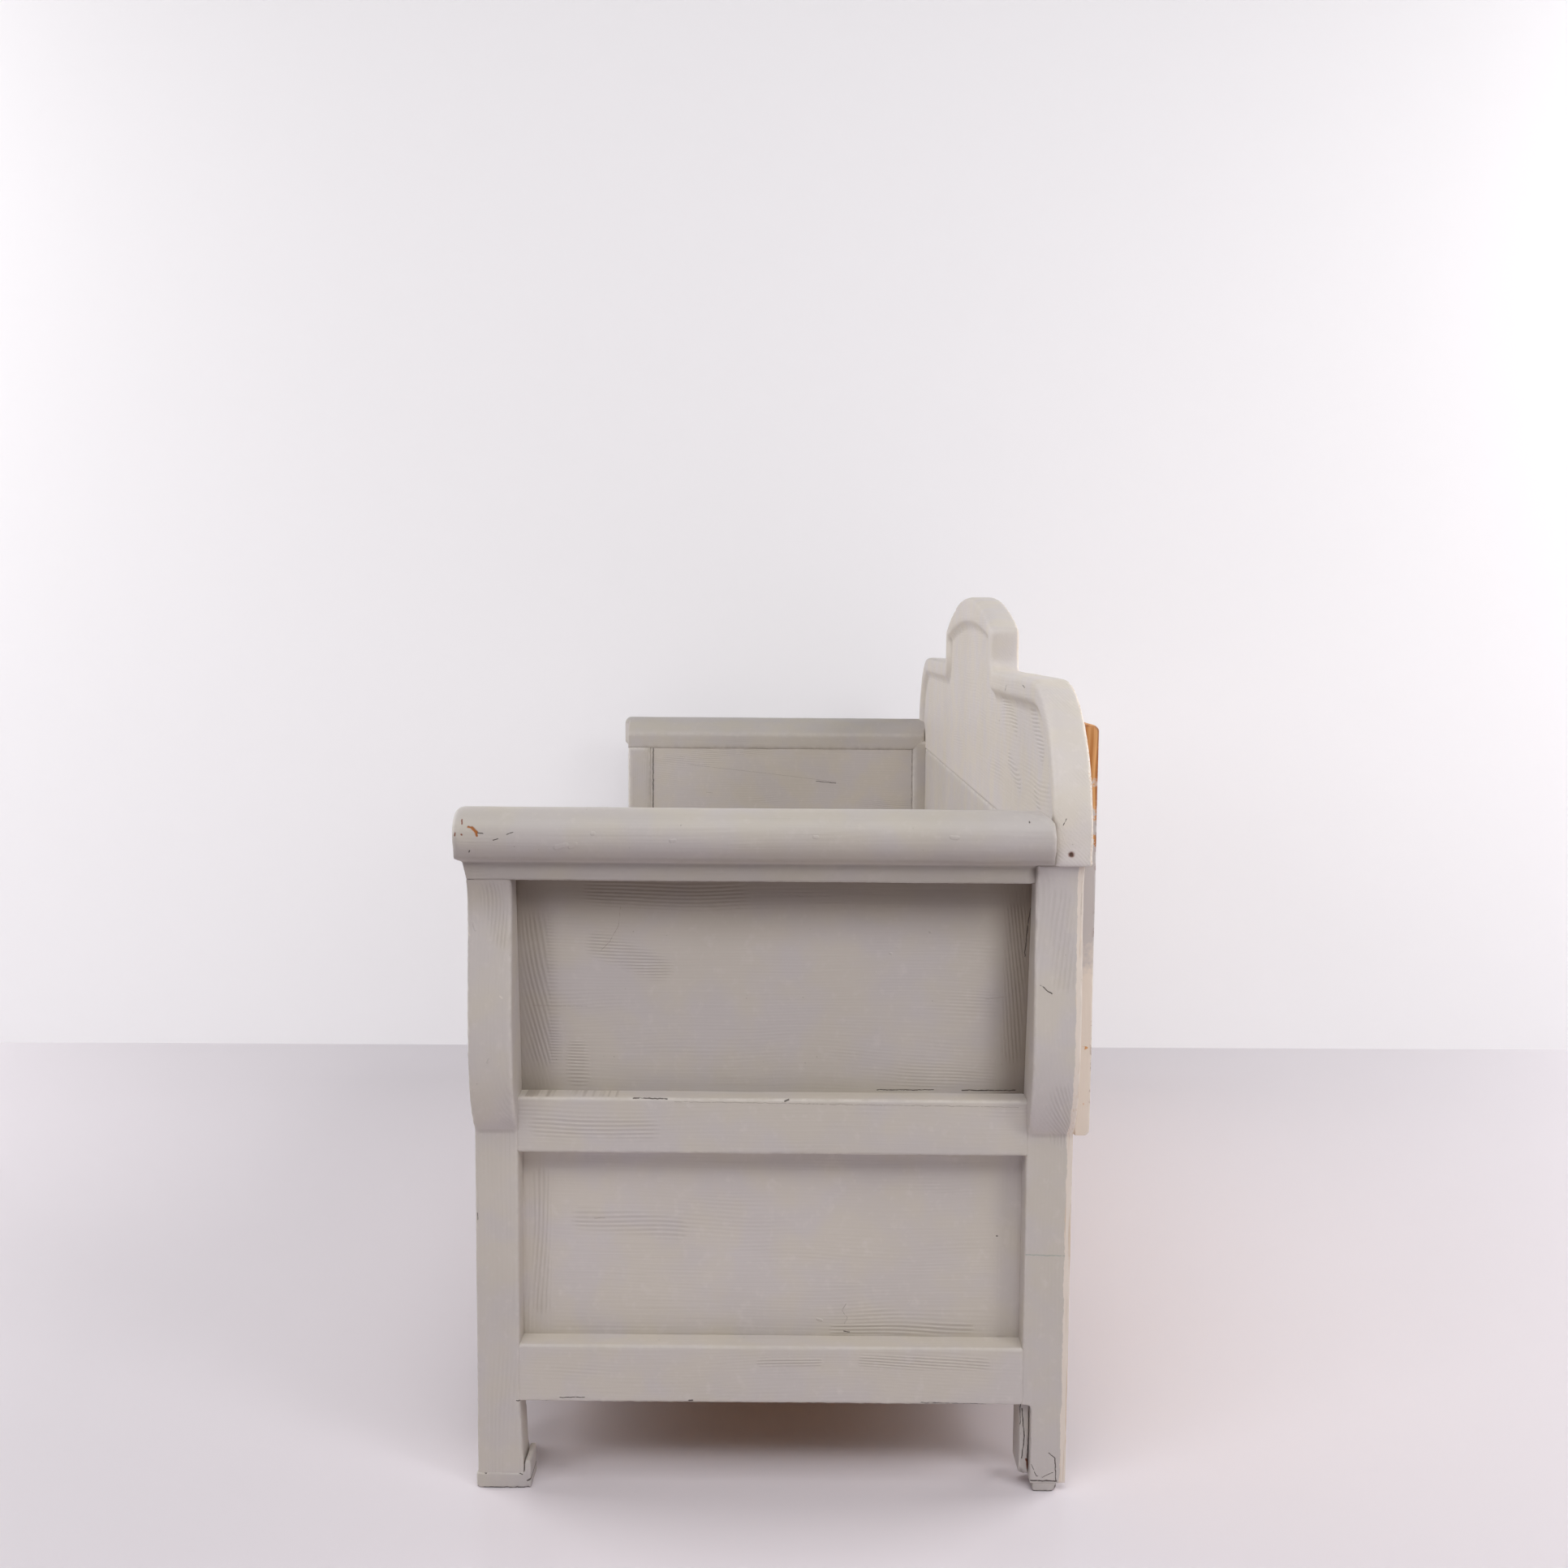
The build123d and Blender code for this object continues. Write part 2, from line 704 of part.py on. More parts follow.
def hinge_leaves(side, knuckle_numbers):
    """The leaves on one side of the joint (+1 rear, -1 front) with their bored knuckles."""
    leaf_near = hinge_y + side * (knuckle_radius + knuckle_gap)
    leaf_far = hinge_y + side * hinge_leaf_length
    with BuildPart() as leaves:
        for hinge_x in hinge_places:
            with BuildSketch(Plane.XY.offset(seat_top)):
                with Locations((hinge_x, (leaf_near + leaf_far) / 2)):
                    Rectangle(hinge_width, abs(leaf_far - leaf_near))
            extrude(amount=hinge_leaf_thickness)
            for number in knuckle_numbers:
                knuckle_start = hinge_x + number * knuckle_pitch - knuckle_length / 2
                with BuildSketch(Plane.YZ.offset(knuckle_start)):
                    with Locations((hinge_y, hinge_z)):
                        Circle(knuckle_radius)
                    tongue_z = seat_top + hinge_leaf_thickness / 2 + running_gap
                    with Locations(((leaf_near + hinge_y) / 2, tongue_z)):
                        Rectangle(abs(leaf_near - hinge_y), hinge_leaf_thickness)
                extrude(amount=knuckle_length)
                with BuildSketch(Plane.YZ.offset(knuckle_start)):
                    with Locations((hinge_y, hinge_z)):
                        Circle(pin_radius + pin_clearance)
                extrude(amount=knuckle_length, mode=Mode.SUBTRACT)
    return leaves


save(hinge_leaves(1, [-1, 1]), "hinge_leaves_fixed")
save(hinge_leaves(-1, [0]), "hinge_leaves_lid")

with BuildPart() as hinge_pins:
    for hinge_x in hinge_places:
        with BuildSketch(Plane.YZ.offset(hinge_x - hinge_width / 2)):
            with Locations((hinge_y, hinge_z)):
                Circle(pin_radius)
        extrude(amount=hinge_width)
save(hinge_pins, "hinge_pins")
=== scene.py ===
"""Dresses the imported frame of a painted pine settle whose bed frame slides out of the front."""

import json
import math
from functools import partial

import bmesh
import bpy
import numpy as np
from bpy.props import FloatProperty, FloatVectorProperty, IntProperty, PointerProperty
from mathutils import Matrix, Vector
from mathutils.bvhtree import BVHTree


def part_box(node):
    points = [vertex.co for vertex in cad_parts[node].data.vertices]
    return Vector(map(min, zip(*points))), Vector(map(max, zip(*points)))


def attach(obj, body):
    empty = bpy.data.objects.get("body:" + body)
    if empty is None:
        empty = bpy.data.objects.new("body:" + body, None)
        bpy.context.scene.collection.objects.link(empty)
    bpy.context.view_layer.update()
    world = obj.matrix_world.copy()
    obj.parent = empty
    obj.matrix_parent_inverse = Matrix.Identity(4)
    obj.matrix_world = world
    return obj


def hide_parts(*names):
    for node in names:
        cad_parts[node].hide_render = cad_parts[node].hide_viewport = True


bl_info = {
    "name": "Pull out bench bed",
    "version": (1, 0, 0),
    "blender": (4, 5, 0),
    "location": "View3D > Sidebar > Bench bed",
    "description": "Builds the painted, bare and iron pieces of the bench bed around its frame",
    "category": "Object",
}

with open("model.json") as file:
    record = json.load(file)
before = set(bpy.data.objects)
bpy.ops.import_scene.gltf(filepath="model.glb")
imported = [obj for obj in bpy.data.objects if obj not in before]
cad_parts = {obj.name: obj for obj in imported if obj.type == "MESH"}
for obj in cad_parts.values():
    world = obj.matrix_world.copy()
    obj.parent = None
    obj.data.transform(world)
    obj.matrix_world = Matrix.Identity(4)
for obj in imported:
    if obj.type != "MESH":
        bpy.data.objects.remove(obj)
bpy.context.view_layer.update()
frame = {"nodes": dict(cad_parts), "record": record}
NODES = frame["nodes"]
BODY_OF = {node: body for body, nodes in frame["record"]["behaviour"]["bodies"].items() for node in nodes}
MM = 0.001
SIDES = ("right", "left")
AXES = "XYZ"
X, Y, Z = range(3)


def linear(code):
    """The linear colour of an sRGB hex value."""
    parts = [int(code[at : at + 2], 16) / 255 for at in (0, 2, 4)]
    return tuple(p / 12.92 if p <= 0.04045 else ((p + 0.055) / 1.055) ** 2.4 for p in parts) + (1.0,)


def colour(name, description, code):
    return FloatVectorProperty(
        name=name, description=description, default=linear(code), size=4, min=0.0, max=1.0, subtype="COLOR"
    )


def length(name, description, value):
    return FloatProperty(
        name=name, description=description, default=value * MM, min=0.0, unit="LENGTH", subtype="DISTANCE"
    )


def power(name, description, watts):
    return FloatProperty(name=name, description=description, default=watts, min=0.0, unit="POWER")


def level(name, description, value):
    return FloatProperty(name=name, description=description, default=value, min=0.0)


def count(name, description, value, least, most):
    return IntProperty(name=name, description=description, default=value, min=least, max=most)


# ---------------------------------------------------------------- sizes and colours


class BenchPaint(bpy.types.PropertyGroup):
    """Old brushed oil paint on pine."""

    body: colour("Paint", "The paint on an even face, cool parts", "c6bfbd")
    warm: colour("Paint, warm", "The same paint where it has yellowed a little", "c9c1b8")
    pale: colour("Paint, rubbed", "The paint where hands and cloths have rubbed it thin", "d3cbc6")
    shade: colour("Paint, dulled", "The paint where dust has dulled it", "b5ada1")
    edge: colour("Worn edge", "The chalky coat that shows on rubbed edges", "ddd6cf")
    # this colour is dirt in corners and pits, and also draws the painted shade in the sheltered bands of the
    # coat
    grime: colour("Grime", "Old dirt in corners and pits", "786a5c")
    crack: colour("Crack", "The bottom of a crack in the paint", "3f332b")
    chip: colour("Chip", "Bare wood in a chip", "9c5c24")
    rust: colour("Old red coat", "The red-brown coat below, in small chips", "7d4631")
    verdigris: colour("Green trace", "A trace of an older green coat", "6f8c80")
    filler: colour("Filler", "Pale filler in old holes", "dcd4ca")
    ridge_pitch: length(
        "Ridge pitch", "From one growth ring ridge to the next, drawn coarser than the real 3 mm to show", 4.2
    )
    ridge_height: length("Ridge height", "How far the ridges stand up", 0.42)
    brush_pitch: length(
        "Brush mark pitch",
        "From one bristle mark to the next, drawn coarser than the real 0.8 mm to show",
        2.0,
    )
    pock_pitch: length("Pock spacing", "Between small pits in the coat", 9.0)


class BenchTimber(bpy.types.PropertyGroup):
    """Bare and primed pine, and the iron in it."""

    raw_light: colour("Raw pine, early wood", "The pale part of each ring on inside pieces", "c4a277")
    raw_dark: colour("Raw pine, late wood", "The dark part of each ring on inside pieces", "a67c4e")
    amber_light: colour("Aged pine, early wood", "The pale part of each ring on the battens", "e2ac72")
    amber_dark: colour("Aged pine, late wood", "The dark part of each ring on the battens", "b07038")
    cream: colour("Cream primer", "The thin cream coat on the back and on the board ends", "e6dace")
    iron: colour("Iron", "Blackened wrought iron", "3a3633")
    iron_rust: colour("Rust", "Rust in the scale of the iron", "6b4127")
    ring_pitch: length("Ring pitch", "From one growth ring to the next", 4.2)


class BenchSurface(bpy.types.PropertyGroup):
    """How finely the worn shapes are worked."""

    near_grain: length("Near mesh", "Mesh spacing on the right end", 2.0)
    far_grain: length("Far mesh", "Mesh spacing on the left end", 3.4)
    board_grain: length("Board mesh", "Mesh spacing on the long boards", 4.6)
    foot_grain: length("Foot mesh", "Mesh spacing on the feet", 1.2)
    waviness: length("Waviness", "How far a hand-planed face dips", 0.45)
    tenon: length("Tenon", "How far a piece runs into its neighbour at a joint", 3.0)
    stile_top: length("Rear stile top", "How far the rear stile runs up, to the lip of the arm", 20.0)
    panel_top: length("Upper panel top", "How far an upper panel runs up, to the underside of the arm", 10.4)
    easing: length("Easing", "The eased edge of the inside pieces", 1.6)
    softening: count("Softening", "Smoothing passes on a worn edge", 2, 0, 12)


class BenchNails(bpy.types.PropertyGroup):
    """Forged nails and slats."""

    head_radius: length("Nail head radius", "Batten nails, over the facets", 5.0)
    head_height: length("Nail head height", "Batten nails, above the wood", 2.0)
    hinge_head_radius: length("Hinge nail radius", "Nails in the hinge leaves", 3.2)
    hinge_head_height: length("Hinge nail height", "Nails in the hinge leaves", 1.2)
    facets: count("Facets", "Hammered facets round a head", 7, 4, 12)
    slat_easing: length("Slat easing", "The planed-off edge of a slat", 1.8)
    slat_count: count("Slats", "Slats in each set", 12, 1, 40)


class BenchStage(bpy.types.PropertyGroup):
    """Floor, wall, lamps and camera."""

    floor: colour("Floor", "Smooth pale vinyl", "ece5eb")
    wall: colour("Wall", "Pale wall", "f4f0f4")
    top_power: power("Top lamp", "High softbox above the camera", 40.0)
    front_power: power("Front lamp", "Softbox before the bench's front", 56.0)
    rear_power: power("Rear lamp", "Softbox behind the bench's back", 60.0)
    key_power: power("Key lamp", "Small softbox right of the camera", 19.0)
    fill_power: power("Fill lamp", "Small softbox left of the camera", 10.0)
    world_level: level("Room light", "Even light from all round", 0.02)
    wall_glow: level("Wall level", "How bright the wall shows itself", 0.36)
    wall_distance: length("Wall distance", "From the middle of the bench to the wall, along -X", 1063.0)
    camera_lens: FloatProperty(
        name="Focal length", description="Camera focal length", default=38.68, min=1.0, unit="CAMERA"
    )


# ---------------------------------------------------------------- node trees


def add(tree, kind, *values, **named):
    """Adds one node. Its kind may end in its operation, after a dot. Values fill its live sockets in their
    order. Of the named ones, those with a capital are sockets and the others are settings.
    A node given as a value stands for its first live output."""
    kind, _, operation = kind.partition(".")
    plain = kind.startswith(("GeometryNode", "FunctionNode", "NodeGroup"))
    made = tree.nodes.new(kind if plain else "ShaderNode" + kind)
    if operation:
        made.operation = operation
    for key, value in named.items():
        if not key[0].isupper():
            setattr(made, key, value)
    live = [socket for socket in made.inputs if socket.enabled]
    filled = list(zip(live, values)) + [(made.inputs[key], named[key]) for key in named if key[0].isupper()]
    for socket, value in filled:
        if isinstance(value, bpy.types.Node):
            value = next(output for output in value.outputs if output.enabled)
        if isinstance(value, bpy.types.NodeSocket):
            tree.links.new(value, socket)
        else:
            socket.default_value = value
    return made


def new_material(name):
    """An empty material, add for its node tree, and the places on the object."""
    made = bpy.data.materials.new(name)
    made.use_nodes = True
    made.node_tree.nodes.clear()
    node = partial(add, made.node_tree)
    return made, node, node("TexCoord").outputs["Object"]


def new_group(name, family, inputs, outputs):
    """An empty node group with its sockets, given as {name: kind}, add for its tree, and what it is given."""
    group = bpy.data.node_groups.new(name, family + "NodeTree")
    for way, sockets in (("INPUT", inputs), ("OUTPUT", outputs)):
        for label, kind in sockets.items():
            group.interface.new_socket(name=label, in_out=way, socket_type="NodeSocket" + kind)
    node = partial(add, group)
    return group, node, node("NodeGroupInput").outputs


def shaken(node, place, scale, reach):
    """Places pushed about at random, by up to half of reach."""
    drift = node("TexNoise", Vector=place, Scale=scale).outputs["Color"]
    push = node("VectorMath.SCALE", node("VectorMath.SUBTRACT", drift, (0.5, 0.5, 0.5)), reach)
    return node("VectorMath.ADD", place, push)


def grain_scale(grain, across, along):
    """A scale for patterns that run one way across the grain and another way along it."""
    return [along if axis == grain else across for axis in AXES]


def close_material(material, node, tone, coats, relief, depth=MM, **skin):
    """Lays coats, as (cover, tint), over the first tone, and ends the material with its relief and sheen."""
    for cover, tint in coats:
        tone = node("Mix", cover, tone, tint, data_type="RGBA")
    skin["Normal"] = node("Bump", Height=relief, Distance=depth)
    node("OutputMaterial", node("BsdfPrincipled", tone, **skin))
    return material


SOLID_SHARE = 0.45  # the middle of a mark, as a share of its width, that is fully marked


def hair_line_group():
    """A node group that is 1 within a wandering distance of a short straight line, and 0 away from it."""
    if "hair_line" in bpy.data.node_groups:
        return bpy.data.node_groups["hair_line"]
    inputs = {"Place": "Vector", "Start": "Vector", "End": "Vector", "Half Width": "Float", "Wander": "Float"}
    group, node, given = new_group("hair_line", "Shader", inputs, {"Mask": "Float"})
    place = shaken(node, given["Place"], 140.0, given["Wander"])
    from_start = node("VectorMath.SUBTRACT", place, given["Start"])
    along = node("VectorMath.SUBTRACT", given["End"], given["Start"])
    reach = node("VectorMath.DOT_PRODUCT", from_start, along)
    share = node("Math.DIVIDE", reach, node("VectorMath.DOT_PRODUCT", along, along), use_clamp=True)
    foot = node("VectorMath.SCALE", along, share)
    far = node("VectorMath.LENGTH", node("VectorMath.SUBTRACT", from_start, foot))
    inner = node("Math.MULTIPLY", given["Half Width"], SOLID_SHARE)
    node("NodeGroupOutput", node("MapRange", far, given["Half Width"], inner))
    return group


def seen_plainly(node):
    """1 for what the camera, a reflection or a clear body shows, and 0 for light that a matt face gets."""
    rays = node("LightPath").outputs
    shown = node("Math.MAXIMUM", rays["Is Camera Ray"], rays["Is Glossy Ray"])
    return node("Math.MAXIMUM", shown, rays["Is Transmission Ray"])


# Marks in the paint, as (half width, then across and up of each point of the line) in millimetres. Across is
# Y on the end faces and X on the back. A dot has one point. beyond: there are none where X is under this.
ARM_MARKS = {
    "chip": [(1.3, -313, 714.2, -309, 713.4), (2, -309, 713.4, -304.6, 709.6),
        (1.5, -305, 709.5, -304, 706)],
    "rust": [(1, -320, 721, -319.4, 717), (1, -325.8, 708, -326.2, 705.2), (1.3, -319.4, 706.9)],
    "crack": [(0.7, -303.4, 708.8, -298.2, 708.2), (0.6, -288, 701.5, -283, 703.2),
        (0.6, -275, 707, -269, 709.6), (0.8, -313.1, 689.1, -312.4, 690.6), (1, 254, 736, 261, 733),
        (1.2, 243.5, 722.5), (0.9, -319, 657.8, -308, 657.4), (0.7, -304, 657.6, -291, 657.5),
        (1, -286, 657.3, -272, 657.5)],
    "ridged": [(11, -312, 674, -306, 662)],
    "filler": [(0.8, 268, 722, 274, 716)],
    "blister": [(3, -226, 694.5, -216, 697), (2.6, -212, 695, -207, 698), (2, -190, 709, -188, 709),
        (2.2, -111.7, 702, -108, 702.5), (2, 30, 707, 33, 707), (2.4, 166, 708, 172, 707)],
}
UPPER_PANEL_MARKS = {
    "scratch": [(0.45, -167.4, 628, -170.5, 606, -180, 588, -189.7, 578.8),
        (0.4, -261.4, 518.2, -204.8, 517.6), (0.4, 211.3, 528.8, 240.7, 533.3), (0.3, -8, 640, 20, 638.5)],
    "crack": [(0.7, 254.5, 626.8, 252, 601), (0.6, 252, 601, 250.8, 575.6), (0.6, 100, 427.8, 160, 428.2),
        (0.8, 190, 428, 246, 428.4)],
    "blister": [(1.8, 111.7, 577.7), (1.5, 152, 601)],
    "ridged": [(20, -190, 640, -52, 636), (18, -190, 585, -130, 560), (22, -255, 600, -250, 470),
        (14, -215, 470, -215, 440), (14, 240, 620, 240, 470)],
}
LOWER_PANEL_MARKS = {
    "scratch": [(0.6, 69.6, 193, 66, 186, 71, 178), (0.5, 71, 178, 68, 171),
        (0.5, -199.5, 285.4, -188, 285.9)],
    "crack": [(0.8, 68.2, 163.3, 74, 162), (1.3, 229.7, 269.4)],
    "blister": [(1.6, 40, 176, 44, 175)],
    "ridged": [(16, -210, 286, -110, 276), (12, -255, 330, -255, 190), (9, 60, 165, 200, 168)],
}
MID_RAIL_MARKS = {
    "crack": [(0.7, -155.1, 423.8, -119.6, 423.6), (1, 3, 422, 6.5, 423.5)],
    "scratch": [(0.6, -112, 421, 246, 418), (0.6, -268, 425, -165, 425.4)],
    "ridged": [(16, -250, 395, -140, 392)],
}
LOWER_RAIL_MARKS = {
    "ridged": [(9, 90, 143, 215, 141), (6, -20, 141, 40, 141)],
    "crack": [(0.6, -232.8, 100.2, -207, 101.2), (0.6, 149.5, 98.1, 184, 97.2),
        (0.7, 184, 97.2, 218.2, 96.2), (1.2, -96, 98, -93, 98.5)],
}
REAR_STILE_MARKS = {
    "rust": [(1.8, 300.3, 261.4, 300.3, 259)],
    "chip": [(1.2, 303, 560, 303, 556)],
    "verdigris": [(0.7, 257, 260.2, 278, 259.2, 302.9, 259)],
    "crack": [(0.7, 261, 554, 273, 545.6), (0.5, 301.7, 647.4, 301.3, 625.5),
        (0.6, 285.8, 43.5, 292.4, 37.8, 293.6, 13), (0.4, 267.2, 30.8, 273, 17.8, 279.9, 17, 290.2, 22),
        (1, 267, 12.6, 294, 12.6)],
    "ridged": [(16, 280, 640, 286, 560), (14, 285, 440, 290, 390)],
}
BLOCK_MARKS = {
    "crack": [(0.7, 258, 88, 260.7, 56.7, 258.6, 32.4), (0.8, 252.8, 74.6, 253.2, 43),
        (0.6, 265.5, 55, 264.3, 29.7), (0.6, 256, 96, 256.5, 70)],
    "rust": [(1.5, 263.5, 31.5, 266.8, 12)],
}
PAD_MARKS = {
    # the crack line at a height of 0.4 mm is a painted contact shadow along the floor
    "crack": [(1.1, 266, 11.4, 294, 11.4), (1.1, 270, 0.4, 290, 0.4), (1.3, 294.5, 9, 292.8, 4)],
    "rust": [(1.6, 266.4, 8.6, 267.4, 5)],
}
SHOE_MARKS = {
    # the crack line at a height of 0.5 mm is a painted contact shadow along the floor
    "crack": [(0.9, -314, 0.5, -271, 0.5), (1.1, -314, 17.6, -311.6, 16), (1.3, -267.5, 8.4, -264.4, 10.4),
        (0.6, -277, 17, -273, 15.4)],
}
FRONT_STILE_MARKS = {
    "crack": [(0.5, -318.5, 300, -318.2, 292), (0.8, -279, 96.5, -276, 96)],
    "blister": [(1.6, -314, 612, -312, 606), (1.4, -300, 470, -298, 474)],
    "ridged": [(14, -296, 645, -284, 600)],
    "filler": [(1.2, -319.9, 602.9, -318, 600), (1, -287.5, 538.5, -285, 537)],
}
CREST_END_MARKS = {
    "beyond": 850,
    "crack": [(3, 288.5, 688.8), (0.6, 283, 724, 280, 718)],
    "rust": [(4.2, 288.5, 688.8)],
    "blister": [(1.6, 280, 811, 298, 813)],
    "filler": [(0.8, 280, 811, 298, 813), (0.9, 276.5, 717.9, 281.7, 701.7), (0.7, 282, 701, 287, 695)],
}
CREST_FRONT_MARKS = {
    "ridged": [(16, 414.5, 828, 536, 797), (18, 669, 825, 749, 782), (14, 474, 753, 574, 731),
        (10, 700, 735, 770, 700)],
    "crack": [(0.9, 498.9, 844.7, 484.6, 838.2), (0.9, 640, 850, 660, 848), (1.6, 369, 794.8)],
}
FAR_PANEL_MARKS = {
    # the long rust line along the top edge is a painted shadow gap where the panel meets the rail, partly an
    # open joint
    "rust": [(1, -268, 674.2, 60, 673.6), (1.4, 60, 673.6, 253, 672.8)],
    "scratch": [(0.6, -195.3, 638.3, -40, 622, 99.8, 606), (0.6, -216, 655.5, -206, 653.6),
        (0.6, -162.3, 582.6, -150, 581)],
    # the two long upright crack lines, by the left and right stiles, are painted shadow gaps beside the
    # stiles, partly open joints
    "crack": [(0.9, 60, 607, 100, 603), (1.4, -270, 675, -270.5, 430), (0.5, 253.5, 675, 254, 430)],
}
# Each kind of mark: its height in millimetres, how far it covers the coat, and its colour.
MARK_LOOKS = {
    "blister": (0.45, 0.0, None), "filler": (0.1, 0.7, "filler"), "verdigris": (-0.05, 0.55, "verdigris"),
    "rust": (-0.25, 1.0, "rust"), "chip": (-0.35, 1.0, "chip"), "scratch": (-0.12, 0.4, "grime"),
    "crack": (-0.5, 0.9, "crack"),
}
WANDER = 2.4  # a mark strays from its straight line by up to half of this, in millimetres


def old_paint(name, grain, marks=None, front_marks=None, ridges=1.0, lumpy=1.0, painted_light_gain=1.0, primed_rear=None,
              upright_sides=None, dust_and_shade=()):
    """Linseed oil paint, brushed by hand over planed pine in several coats, and worn by use.
    It gives the eye a soft broken sheen, the ridges of the growth rings showing through the coat in patches,
    fine bristle marks along the grain, chalky rubbed edges and brown dirt in the corners, with painted shade
    in sheltered bands.
    marks, front_marks: marks on the end face and on the front face.
    upright_sides: (low, high) in Y, outside which the grain stands upright, as on a panel's edge strips.
    painted_light_gain: how much lighter or darker this piece's coat is drawn than the rest: painted light
    that sets each piece to the level of its light, and in part paint rubbed or bleached.
    primed_rear: the Y beyond which only the cream primer is left.
    dust_and_shade: (axis, from, to, share), where a sheltered part of the coat is drawn darker: painted shade
    under the arm and beside the stiles, with some dust."""
    paint, timber = bpy.context.scene.bench_paint, bpy.context.scene.bench_timber
    material, node, place = new_material(name)
    apart = node("SeparateXYZ", place).outputs

    def mark_mask(kind):
        """1 inside the marks of one kind, or None where there are none."""
        mask = None
        for table, on_front in ((marks, False), (front_marks, True)):
            if kind not in (table or {}):
                continue
            flat = node("VectorMath.MULTIPLY", place, (1.0, 0.0, 1.0) if on_front else (0.0, 1.0, 1.0))
            if "beyond" in table:
                # lifts the marks out of reach on the parts that are nearer to the middle
                short = node("Math.LESS_THAN", apart["X"], table["beyond"] * MM)
                flat = node("VectorMath.ADD", flat, node("CombineXYZ", short))
            for half_width, *path in table[kind]:
                spots = list(zip(path[::2], path[1::2]))
                spots = [(a * MM, 0.0, up * MM) if on_front else (0.0, a * MM, up * MM) for a, up in spots]
                for start, end in zip(spots, spots[1:] or spots):
                    sizes = half_width * MM, WANDER * MM
                    one = node("Group", flat, start, end, *sizes, node_tree=hair_line_group())
                    mask = node("Math.MAXIMUM", mask, one) if mask else one
        return mask

    # painted light: scales a tint by the piece's painted_light_gain, in part rubbed paint
    def with_painted_light(tint):
        return tuple(min(part * painted_light_gain, 1.0) for part in tint[:3]) + (1.0,)

    ridged = mark_mask("ridged")

    def grown(direction):
        """Ridges of the growth rings and bristle marks for one direction of the grain."""

        def stretched(across, along):
            return node("Mapping", Vector=place, Scale=grain_scale(direction, across, along))

        # rings drift sideways by some millimetres to a few centimetres over a hand's breadth
        drift = node("TexNoise", Vector=stretched(9.0, 3.2), Scale=1.0, Detail=1.6, Roughness=0.4)
        across = node("VectorMath.DOT_PRODUCT", place, grain_scale(direction, 1.0, 0.0))
        ring_drift = 0.045
        across = node("Math.MULTIPLY_ADD", drift, ring_drift, across)
        turn = node("Math.MULTIPLY", across, 2 * math.pi / paint.ridge_pitch)
        swell = node("Math.MULTIPLY_ADD", node("Math.SINE", turn), 0.5, 0.5)
        region = node("TexNoise", Vector=stretched(21.0, 5.5), Scale=1.0, Detail=1.5)
        most = 0.5 if ridged else 0.8  # loose patches are fainter where ridges are placed one by one
        region = node("MapRange", region, 0.54, 0.74, 0.08, most, interpolation_type="SMOOTHSTEP")
        if ridged:
            region = node("Math.MAXIMUM", region, ridged)
        strokes = stretched(1.0 / paint.brush_pitch, 0.02 / paint.brush_pitch)
        bristles = node("TexNoise", Vector=strokes, Scale=0.8, Detail=1.5, Roughness=0.55)
        return node("Math.MULTIPLY", swell, region), bristles

    rings, bristles = grown(grain)
    if upright_sides:
        blend = 3 * MM
        low, high = upright_sides
        left = node("MapRange", apart["Y"], low + blend, low - blend)
        right = node("MapRange", apart["Y"], high - blend, high + blend)
        strip = node("Math.MAXIMUM", left, right)
        pairs = zip((rings, bristles), grown("Z"))
        rings, bristles = [node("Mix", strip, level, upright, data_type="FLOAT") for level, upright in pairs]
    noises = ((4.0, 3.0, 0.55), (17.0, 2.0, 0.5), (60.0, 3.0, 0.65), (85.0, 3.0, 0.6))
    broad, clouds, wear, lumps = [
        node("TexNoise", Vector=place, Scale=scale, Detail=detail, Roughness=roughness)
        for scale, detail, roughness in noises
    ]
    pits = node("TexVoronoi", Vector=place, Scale=1.0 / paint.pock_pitch)
    some = node("Math.GREATER_THAN", node("SeparateColor", pits.outputs["Color"]), 0.9)
    pit = node("Math.MULTIPLY", node("MapRange", pits, 0.11, 0.04), some)

    # relief in millimetres
    relief = node("Math.MULTIPLY", rings, ridges * paint.ridge_height / MM)
    for part, height in ((bristles, 0.20), (lumps, 0.14 * lumpy), (pit, -0.15 * lumpy)):
        relief = node("Math.MULTIPLY_ADD", part, height, relief)

    # colour of the coat: cool and warm clouds, duller where dust has settled, and darker in bands of painted
    # shade
    broad = node("MapRange", broad, 0.3, 0.7)
    hollow, arris = [node("Attribute", attribute_name=label).outputs["Fac"] for label in ("hollow", "arris")]
    dirt = node("Math.MULTIPLY", hollow, lumps, use_clamp=True)
    dirt = node("Math.MULTIPLY_ADD", pit, 0.35, dirt, use_clamp=True)
    worn = node("Math.MULTIPLY", arris, node("MapRange", wear, 0.38, 0.62), use_clamp=True)
    grime = paint.grime[:]
    coats = [
        (node("MapRange", clouds, 0.4, 0.6), with_painted_light(paint.body)),
        (node("Math.MULTIPLY", broad, 0.35), with_painted_light(paint.shade)),
        (node("MapRange", lumps, 0.56, 0.8, 0.0, 0.4), with_painted_light(paint.pale)),
        (node("MapRange", rings, 0.0, 1.0, 0.0, 0.10 * ridges), grime),
        (dirt, grime),
        (node("Math.MULTIPLY", worn, 0.6), paint.edge[:]),
    ]
    # painted shade: each band darkens the coat towards the dark corner colour where the piece lies under the
    # arm's overhang or beside a proud stile, with some dust
    for axis, clean, deep, share in dust_and_shade:
        dust = node("MapRange", apart[axis], clean, deep, 0.0, share, interpolation_type="SMOOTHSTEP")
        coats.append((dust, grime))

